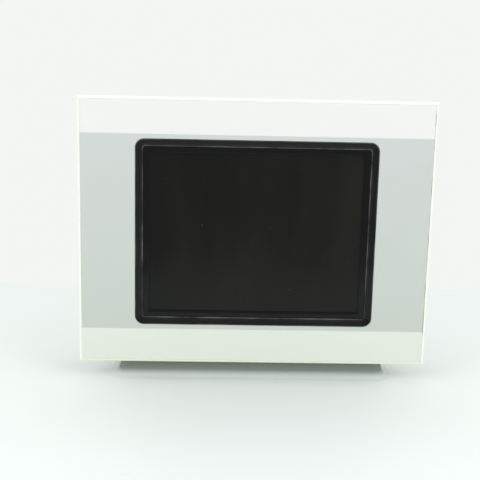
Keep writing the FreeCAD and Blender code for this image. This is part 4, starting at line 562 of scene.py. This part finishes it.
def rolled_thread(number, x, z):
    """Zinc-plated rod with a rolled thread between its webs: a triangle wave of distance over pitch less
    angle over a full turn, with painted shade darkening its roots.  Eye: fine slanting bright lines on grey
    flanks, plain bright ends."""
    material, tree, shader, place = start("rolled_thread_zinc_%d" % number, 0.28, metallic=1.0)
    local = add(tree, "ShaderNodeVectorMath", {0: place, 1: (x, 0, z)}, operation="SUBTRACT").outputs[0]
    axes = add(tree, "ShaderNodeSeparateXYZ", {0: local})
    angle = add(tree, "ShaderNodeMath", {0: axes.outputs["Z"], 1: axes.outputs["X"]},
                operation="ARCTAN2").outputs[0]
    turn = add(tree, "ShaderNodeMath", {0: angle, 1: 2 * math.pi}, operation="DIVIDE").outputs[0]
    along = add(tree, "ShaderNodeMath", {0: axes.outputs["Y"], 1: THREAD_PITCH},
                operation="DIVIDE").outputs[0]
    phase = add(tree, "ShaderNodeMath", {0: along, 1: turn}, operation="SUBTRACT").outputs[0]
    flank = add(tree, "ShaderNodeMath", {0: phase, 1: 0.5}, operation="PINGPONG").outputs[0]
    begin = add(tree, "ShaderNodeMapRange",
                {"Value": axes.outputs["Y"], 1: THREAD_FROM, 2: THREAD_FROM + RUN_OUT})
    end = add(tree, "ShaderNodeMapRange", {"Value": axes.outputs["Y"], 1: THREAD_TO, 2: THREAD_TO - RUN_OUT})
    both = add(tree, "ShaderNodeMath", {0: begin.outputs[0], 1: end.outputs[0]},
               operation="MULTIPLY").outputs[0]
    cut = add(tree, "ShaderNodeMath", {0: flank, 1: both}, operation="MULTIPLY").outputs[0]
    # Painted shade: the roots of the thread are coloured darker than its crests.
    root = add(tree, "ShaderNodeMapRange", {"Value": cut, 1: 0.0, 2: 0.5, 3: 0.0, 4: 0.8}).outputs[0]
    whole = add(tree, "ShaderNodeMix", {0: root, 6: linear("#c9ccca"), 7: linear("#6f716c")},
                data_type="RGBA")
    relief = add(tree, "ShaderNodeBump", {"Height": cut, "Strength": 0.9, "Distance": -0.6 * MM}).outputs[0]
    grime = add(tree, "ShaderNodeTexNoise", {"Vector": place, "Scale": 1 / 2.2, "Detail": 4.0}).outputs[0]
    matt = add(tree, "ShaderNodeMapRange", {"Value": grime, 1: 0.3, 2: 0.7, 3: 0.24, 4: 0.42}).outputs[0]
    tree.links.new(whole.outputs[2], shader.inputs["Base Color"])
    tree.links.new(matt, shader.inputs["Roughness"])
    tree.links.new(relief, shader.inputs["Normal"])
    return material


CAST_ZINC = plated("tumbled_cast_zinc", "#9a9c9a", "#85867f", 0.38, 1.1)
for number in range(1, 5):
    screw, pawl = "clamp_screw_%d" % number, "clamp_pawl_%d" % number
    low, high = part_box(screw)
    axis = ((low + high) / 2) / MM
    dress(rolled_thread(number, axis.x, axis.z), screw)
    dress(CAST_ZINC, pawl)


# ------------------------------------------------------------------ circuit boards
# Glass-epoxy boards with green solder mask, standing on their pillars behind the display, with the
# moulded chips, cans and the black anodised heat sink on them.

def circuit_board(name, mask, track, hole):
    """Solder mask over etched copper.  Eye: green gloss, paler tracks in steps, bright round vias."""
    material, tree, shader, place = start(name, 0.3, Coat_Weight=0.5, Coat_Roughness=0.15)
    flat = add(tree, "ShaderNodeVectorMath", {0: place, 1: (1, 0, 1)}, operation="MULTIPLY").outputs[0]
    blocks = add(tree, "ShaderNodeTexVoronoi", {"Vector": flat, "Scale": 1 / 11}, distance="CHEBYCHEV")
    steps = add(tree, "ShaderNodeMath", {0: blocks.outputs["Distance"], 1: 9.0},
                operation="MULTIPLY").outputs[0]
    part = add(tree, "ShaderNodeMath", {0: steps, 1: 1.0}, operation="MODULO").outputs[0]
    copper = add(tree, "ShaderNodeMapRange", {"Value": part, 1: 0.55, 2: 0.6}).outputs[0]
    green = add(tree, "ShaderNodeMix", {0: copper, 6: linear(mask), 7: linear(track)},
                data_type="RGBA").outputs[2]
    dots = add(tree, "ShaderNodeTexVoronoi", {"Vector": flat, "Scale": 1 / 3.5}).outputs["Distance"]
    via = add(tree, "ShaderNodeMapRange", {"Value": dots, 1: 0.13, 2: 0.11}).outputs[0]
    whole = add(tree, "ShaderNodeMix", {0: via, 6: green, 7: linear(hole)}, data_type="RGBA").outputs[2]
    relief = add(tree, "ShaderNodeBump",
                 {"Height": copper, "Strength": 0.3, "Distance": 0.04 * MM}).outputs[0]
    tree.links.new(whole, shader.inputs["Base Color"])
    tree.links.new(relief, shader.inputs["Normal"])
    return material


BOARD = circuit_board("green_circuit_board", "#0d4a24", "#17683a", "#c9cbbf")
dress(BOARD, "main_board", "inverter_board", "memory_module")
dress(moulded("moulded_chip_epoxy", "#1b1b1c", "#3c3d3d", 0.5, 0.25), "board_parts")
dress(moulded("ferrite_and_film", "#27241d", "#57503c", 0.55, 0.4), "inverter_parts")
dress(rolled_metal("black_anodised_aluminium", "#26282a", "#1d1f20", 0.36, 0.4, (1, 0.05, 0.02)), "heatsink")


# ------------------------------------------------------------------ sockets in the bottom wall
# Power header and pull-off plug in green polyamide; serial sockets, network jack and bus sockets in
# tinned shells.  The jack's and the bus sockets' contacts are gold-flashed and are added here.

GREEN = moulded("green_polyamide", "#1f8a4c", "#4fae78", 0.42, 0.6)
dress(GREEN, "power_socket", "power_plug")
dress(TIN, "serial_ports", "ethernet_jack", "usb_socket")


def strip(x, width, path, thick):
    """Flat contact: a (y, z) path swept with a width along X and a thickness across the path."""
    path = np.array(path, float)
    along = np.gradient(path, axis=0)
    length = np.linalg.norm(along, axis=1, keepdims=True)
    across = np.stack([-along[:, 1], along[:, 0]], -1) / length * thick / 2
    rows = []
    for (y, z), (dy, dz) in zip(path, across):
        rows.append([[x - width / 2, y - dy, z - dz], [x + width / 2, y - dy, z - dz],
                     [x + width / 2, y + dy, z + dz], [x - width / 2, y + dy, z + dz]])
    return np.array(rows)


jack_low, jack_high = (np.array(corner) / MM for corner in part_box("ethernet_jack"))
jack_middle = (jack_low[0] + jack_high[0]) / 2
WIRE_PITCH = 1.02
springs = []
for wire in range(8):
    x = jack_middle + (wire - 3.5) * WIRE_PITCH
    path = [(jack_low[1] + 2.0, jack_low[2] + 2.2), (jack_low[1] + 2.3, jack_low[2] + 3.4),
            (jack_low[1] + 4.6, jack_low[2] + 8.5), (jack_low[1] + 5.6, jack_low[2] + 12.9)]
    springs.append(strip(x, 0.45, path, 0.3))
fitted(woven("network_contacts", springs, GOLD, sharp=30), "panel")

bus_low, bus_high = (np.array(corner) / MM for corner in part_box("usb_socket"))
bus_middle = (bus_low[0] + bus_high[0]) / 2
LEAF_PITCH = 2.3
leaves = []
for tongue in (bus_low[1] + 4.05, bus_low[1] + 11.95):
    for leaf in range(4):
        x = bus_middle + (leaf - 1.5) * LEAF_PITCH
        leaves.append(strip(x, 1.1, [(tongue, bus_low[2] + 2.2), (tongue, bus_low[2] + 10.8)], 0.16))
fitted(woven("bus_contacts", leaves, GOLD, sharp=30), "panel")


# ------------------------------------------------------------------ switches, card and battery door
# Small moulded parts: white address dials, red reset button, white termination slide, black card
# slot with its blank card and eject rod, black battery door over its tray and sleeved cell.

WHITE = moulded("white_dial_plastic", "#e4e4dc", "#f4f4ee", 0.42, 0.5)
dress(WHITE, "rotary_dial_1", "rotary_dial_2", "termination_slider")
dress(moulded("red_button_plastic", "#b3261d", "#cf5a4f", 0.4, 0.4), "reset_button")
BLACK = moulded("black_moulded_nylon", "#1a1b1b", "#3b3c3b", 0.44, 0.5)
dress(BLACK, "switch_bodies", "card_slot", "eject_button", "battery_cover", "battery_tray")
dress(moulded("blank_card_shell", "#25272a", "#4a4d50", 0.38, 0.3), "memory_card")
dress(moulded("heat_shrunk_sleeve", "#8f2b22", "#b55349", 0.25, 1.5), "battery")


# ------------------------------------------------------------------ earth stud and rating plate
# The stud has a real rolled thread beyond its nut.  The rating plate is thin anodised foil, ruled
# into empty boxes with nothing printed in them.

stud_low, stud_high = (np.array(corner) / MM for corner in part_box("earth_stud"))
stud_x, stud_z = (stud_low[0] + stud_high[0]) / 2, (stud_low[2] + stud_high[2]) / 2
STUD_PITCH = 0.7
STUD_ROOT, STUD_CREST = 1.6, 2.0
STUD_THREAD = 10.0
STUD_STEP = stud_high[1] - STUD_THREAD
HEAD_RADIUS, NECK_RADIUS = 4.0, 2.4


def threaded_rod(y_range, per_turn=20, steps=6):
    """Rolled thread along Y: radius as a triangle wave of (distance / pitch - angle / full turn), fading
    to the root over the last turn at each end.  Rows are steps per pitch, columns points per turn."""
    length = y_range[1] - y_range[0]
    y = np.linspace(*y_range, int(length / STUD_PITCH * steps) + 1)[:, None]
    angle = np.linspace(0, 2 * np.pi, per_turn, endpoint=False)[None, :]
    phase = (y - y_range[0]) / STUD_PITCH - angle / (2 * np.pi)
    flank = 1 - 2 * np.abs(phase % 1 - 0.5)
    fade = np.clip(np.minimum(y - y_range[0], y_range[1] - y) / STUD_PITCH, 0, 1)
    radius = STUD_ROOT + (STUD_CREST - STUD_ROOT) * np.clip(flank * 1.25, 0, 1) * fade
    return np.stack([radius * np.cos(angle), np.broadcast_to(y, radius.shape), radius * np.sin(angle)], -1)


def turned(rows, x, z, sides=32):
    """Turned part along Y: circles of (radius, y), one after the other."""
    angle = np.linspace(0, 2 * np.pi, sides, endpoint=False)
    circles = []
    for radius, y in rows:
        around, up = x + radius * np.cos(angle), z + radius * np.sin(angle)
        circles.append(np.stack([around, np.full(sides, y), up], -1))
    return np.stack(circles)


shank = turned([(HEAD_RADIUS - 0.4, stud_low[1]), (HEAD_RADIUS, stud_low[1] + 0.3),
                (HEAD_RADIUS, stud_low[1] + 1.5), (NECK_RADIUS, stud_low[1] + 1.5),
                (NECK_RADIUS, STUD_STEP), (STUD_ROOT, STUD_STEP + 0.2)], stud_x, stud_z)
stud_thread = threaded_rod((STUD_STEP, stud_high[1])) + np.array([stud_x, 0, stud_z])
stud = woven("earth_stud_threaded", [shank, stud_thread], ZINC, sharp=50)
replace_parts(fitted(stud, "panel"), "earth_stud")


RULE_INSET, RULE_HALF = 2.0, 0.22


def ruled_foil():
    """Anodised foil ruled into empty boxes.  Eye: satin silver, thin dark lines, slight crinkle."""
    material, tree, shader, place = start("ruled_anodised_foil", 0.36, metallic=1.0)
    low, high = (np.array(corner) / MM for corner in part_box("rating_label"))
    centre = (low + high) / 2
    half = (high - low) / 2
    local = add(tree, "ShaderNodeVectorMath", {0: place, 1: tuple(centre)}, operation="SUBTRACT").outputs[0]
    axes = add(tree, "ShaderNodeSeparateXYZ", {0: local})
    lines = []
    frame_x, frame_z = half[0] - RULE_INSET, half[2] - RULE_INSET
    for axis, levels in (("X", (-frame_x, -6.0, frame_x)), ("Z", (-frame_z, -7.0, 4.0, frame_z))):
        for level in levels:
            gap = add(tree, "ShaderNodeMath", {0: axes.outputs[axis], 1: float(level)},
                      operation="SUBTRACT").outputs[0]
            size = add(tree, "ShaderNodeMath", {0: gap}, operation="ABSOLUTE").outputs[0]
            line = add(tree, "ShaderNodeMath", {0: size, 1: RULE_HALF}, operation="LESS_THAN").outputs[0]
            lines.append(line)
    inside = []
    for axis, limit in (("X", frame_x + 0.2), ("Z", frame_z + 0.2)):
        size = add(tree, "ShaderNodeMath", {0: axes.outputs[axis]}, operation="ABSOLUTE").outputs[0]
        inside.append(add(tree, "ShaderNodeMath", {0: size, 1: float(limit)},
                          operation="LESS_THAN").outputs[0])
    drawn = lines[0]
    for line in lines[1:]:
        drawn = add(tree, "ShaderNodeMath", {0: drawn, 1: line}, operation="MAXIMUM").outputs[0]
    for limit in inside:
        drawn = add(tree, "ShaderNodeMath", {0: drawn, 1: limit}, operation="MULTIPLY").outputs[0]
    whole = add(tree, "ShaderNodeMix", {0: drawn, 6: linear("#d3d4d2"), 7: linear("#3a3b3d")},
                data_type="RGBA")
    crinkle = add(tree, "ShaderNodeTexNoise", {"Vector": place, "Scale": 1 / 9, "Detail": 2.0}).outputs[0]
    relief = add(tree, "ShaderNodeBump",
                 {"Height": crinkle, "Strength": 0.15, "Distance": 0.2 * MM}).outputs[0]
    tree.links.new(whole.outputs[2], shader.inputs["Base Color"])
    tree.links.new(relief, shader.inputs["Normal"])
    return material


dress(ruled_foil(), "rating_label")


# ------------------------------------------------------------------ floor, lights and camera
# A plain pale table with a low foam pad that the panel stands on, painted grey as the shadow under the panel,
# two soft boxes in front to the left and right, one above, and a white tent round them, dimmer round the
# opening in front of the panel.
# None of this belongs to the object.

PAD_HIGH = 18.0
PAD_FLARE = 10.0
PAD_WIDE, PAD_FRONT, PAD_BACK = 270.0, 5.0, 52.0
TABLE_FRONT, TABLE_BACK, TABLE_HALF = -430.0, 350.0, 1300.0
EDGE_ROLL = 40.0
OPENING_TOWARD = (0.0, -0.985, -0.17)


def pale_table():
    """Plain matt laminate: one pale colour with a barely visible mottle."""
    material, tree, shader, place = start("pale_table", 0.5)
    cloud = add(tree, "ShaderNodeTexNoise", {"Vector": place, "Scale": 1 / 300, "Detail": 2.0}).outputs[0]
    whole = add(tree, "ShaderNodeMix", {0: cloud, 6: linear("#e9ecef"), 7: linear("#e7ebea")},
                data_type="RGBA")
    tree.links.new(whole.outputs[2], shader.inputs["Base Color"])
    return material


def shadow_foam(level):
    """Foam, cut by wire, painted grey as the shadow under the panel, the painted shadow fading to pale
    towards its foot.
    Eye: dull grey that fades out below."""
    material, tree, shader, place = start("painted_shadow_grey_foam", 0.8)
    axes = add(tree, "ShaderNodeSeparateXYZ", {0: place})
    cells = add(tree, "ShaderNodeTexNoise", {"Vector": place, "Scale": 1 / 0.8, "Detail": 3.0}).outputs[0]
    ragged = add(tree, "ShaderNodeMath", {0: cells, 1: 2.0}, operation="MULTIPLY").outputs[0]
    height = add(tree, "ShaderNodeMath", {0: axes.outputs["Z"], 1: ragged}, operation="ADD").outputs[0]
    # Painted shadow: the pad's grey stands for the shadow under the panel, and this mask fades it out towards
    # the table.
    dust = add(tree, "ShaderNodeMapRange", {"Value": height, 1: level + 8.5, 2: level + 0.8},
               interpolation_type="SMOOTHSTEP").outputs[0]
    whole = add(tree, "ShaderNodeMix", {0: dust, 6: linear("#868f8a"), 7: linear("#dde4e4")},
                data_type="RGBA")
    relief = add(tree, "ShaderNodeBump", {"Height": cells, "Strength": 0.2, "Distance": 0.2 * MM}).outputs[0]
    tree.links.new(whole.outputs[2], shader.inputs["Base Color"])
    tree.links.new(relief, shader.inputs["Normal"])
    return material


def table_top():
    """Flat sheet across X whose back and front edges roll down in a quarter circle, with the pad on it.
    The pad's rows go up its side: a flared foot, an upright wall and a small round at its top edge."""
    level = cad_bounds[0].z / MM - PAD_HIGH
    roll = np.linspace(np.pi / 2, 0, 12)
    out, down = EDGE_ROLL * np.cos(roll), level - EDGE_ROLL + EDGE_ROLL * np.sin(roll)
    back = np.stack([TABLE_BACK + out, down], -1)
    front = np.stack([TABLE_FRONT - out, down], -1)
    profile = np.concatenate([front[::-1], back])
    across = np.linspace(-TABLE_HALF, TABLE_HALF, 3)
    points = np.stack([np.broadcast_to(across[:, None], (3, len(profile))),
                       np.broadcast_to(profile[:, 0], (3, len(profile))),
                       np.broadcast_to(profile[:, 1], (3, len(profile)))], -1)
    index = np.arange(points.size // 3).reshape(3, len(profile))
    quads = np.stack([index[:-1, :-1], index[1:, :-1], index[1:, 1:], index[:-1, 1:]], -1).reshape(-1, 4)
    mesh = bpy.data.meshes.new("table_top")
    mesh.from_pydata(points.reshape(-1, 3) * MM, [], quads.tolist())
    mesh.polygons.foreach_set("use_smooth", [True] * len(mesh.polygons))
    mesh.materials.append(pale_table())
    table = bpy.data.objects.new("table_top", mesh)
    bpy.context.scene.collection.objects.link(table)
    top = level + PAD_HIGH
    rows = [(-PAD_FLARE, level + 0.1), (-PAD_FLARE * 0.5, level + 1.2), (-PAD_FLARE * 0.2, level + 4),
            (0, level + 9), (0, top - 1.5), (0.4, top - 0.4), (1.5, top)]
    pad = []
    for inset, height in rows:
        flat = outline(PAD_WIDE - 2 * inset, PAD_BACK - PAD_FRONT - 2 * inset, 8 - inset)
        middle = flat[:, 1] + (PAD_FRONT + PAD_BACK) / 2
        pad.append(np.stack([flat[:, 0], middle, np.full(len(flat), height)], -1))
    woven("shadow_pad", [np.array(pad)], shadow_foam(level))


def soft_box(name, place, width, height, watts, colour):
    """Rectangular area light at a place, turned to face the panel's middle."""
    light = bpy.data.lights.new(name, "AREA")
    light.shape = "RECTANGLE"
    light.size, light.size_y = width, height
    light.energy = watts
    light.color = linear(colour)[:3]
    lamp = bpy.data.objects.new(name, light)
    bpy.context.scene.collection.objects.link(lamp)
    lamp.location = place
    lamp.rotation_euler = (-Vector(place)).to_track_quat("-Z", "Y").to_euler()


def room(walls, opening, strength):
    """Light from every side, as in a white tent, dimmer round the opening in front of the panel."""
    world = bpy.data.worlds.new("room")
    world.use_nodes = True
    tree = world.node_tree
    background = tree.nodes["Background"]
    background.inputs["Strength"].default_value = strength
    toward = add(tree, "ShaderNodeTexCoord").outputs["Generated"]
    lean = add(tree, "ShaderNodeVectorMath", {0: toward, 1: OPENING_TOWARD},
               operation="DOT_PRODUCT").outputs["Value"]
    share = add(tree, "ShaderNodeMapRange", {"Value": lean, 1: 0.8, 2: 0.96},
                interpolation_type="SMOOTHSTEP")
    whole = add(tree, "ShaderNodeMix", {0: share.outputs[0], 6: linear(walls), 7: linear(opening)},
                data_type="RGBA")
    tree.links.new(whole.outputs[2], background.inputs["Color"])
    bpy.context.scene.world = world


def camera(place, aim, lens, lean):
    """Camera at a place, looking at a point, its top leaning to the left by lean degrees."""
    data = bpy.data.cameras.new("camera")
    data.lens = lens
    eye = bpy.data.objects.new("camera", data)
    bpy.context.scene.collection.objects.link(eye)
    turn = (Vector(aim) - Vector(place)).to_track_quat("-Z", "Y").to_matrix().to_4x4()
    eye.matrix_world = Matrix.Translation(place) @ turn @ Matrix.Rotation(math.radians(lean), 4, "Z")
    bpy.context.scene.camera = eye


table_top()
soft_box("left_box", (-0.85, -0.8, 0.62), width=0.6, height=0.6, watts=3.2, colour="#fffefc")
soft_box("right_box", (0.85, -0.8, 0.62), width=0.6, height=0.6, watts=3.3, colour="#fffefc")
soft_box("top_box", (0.0, 0.3, 1.3), width=1.4, height=0.9, watts=3.5, colour="#f8fff8")
room(walls="#f3f6f2", opening="#b4b8b4", strength=1.0)
camera((-0.0460, -0.9748, 0.2067), aim=(-0.0154, -0.0078, -0.0054), lens=75.0, lean=1.33)
bpy.context.scene.view_settings.view_transform = "Standard"
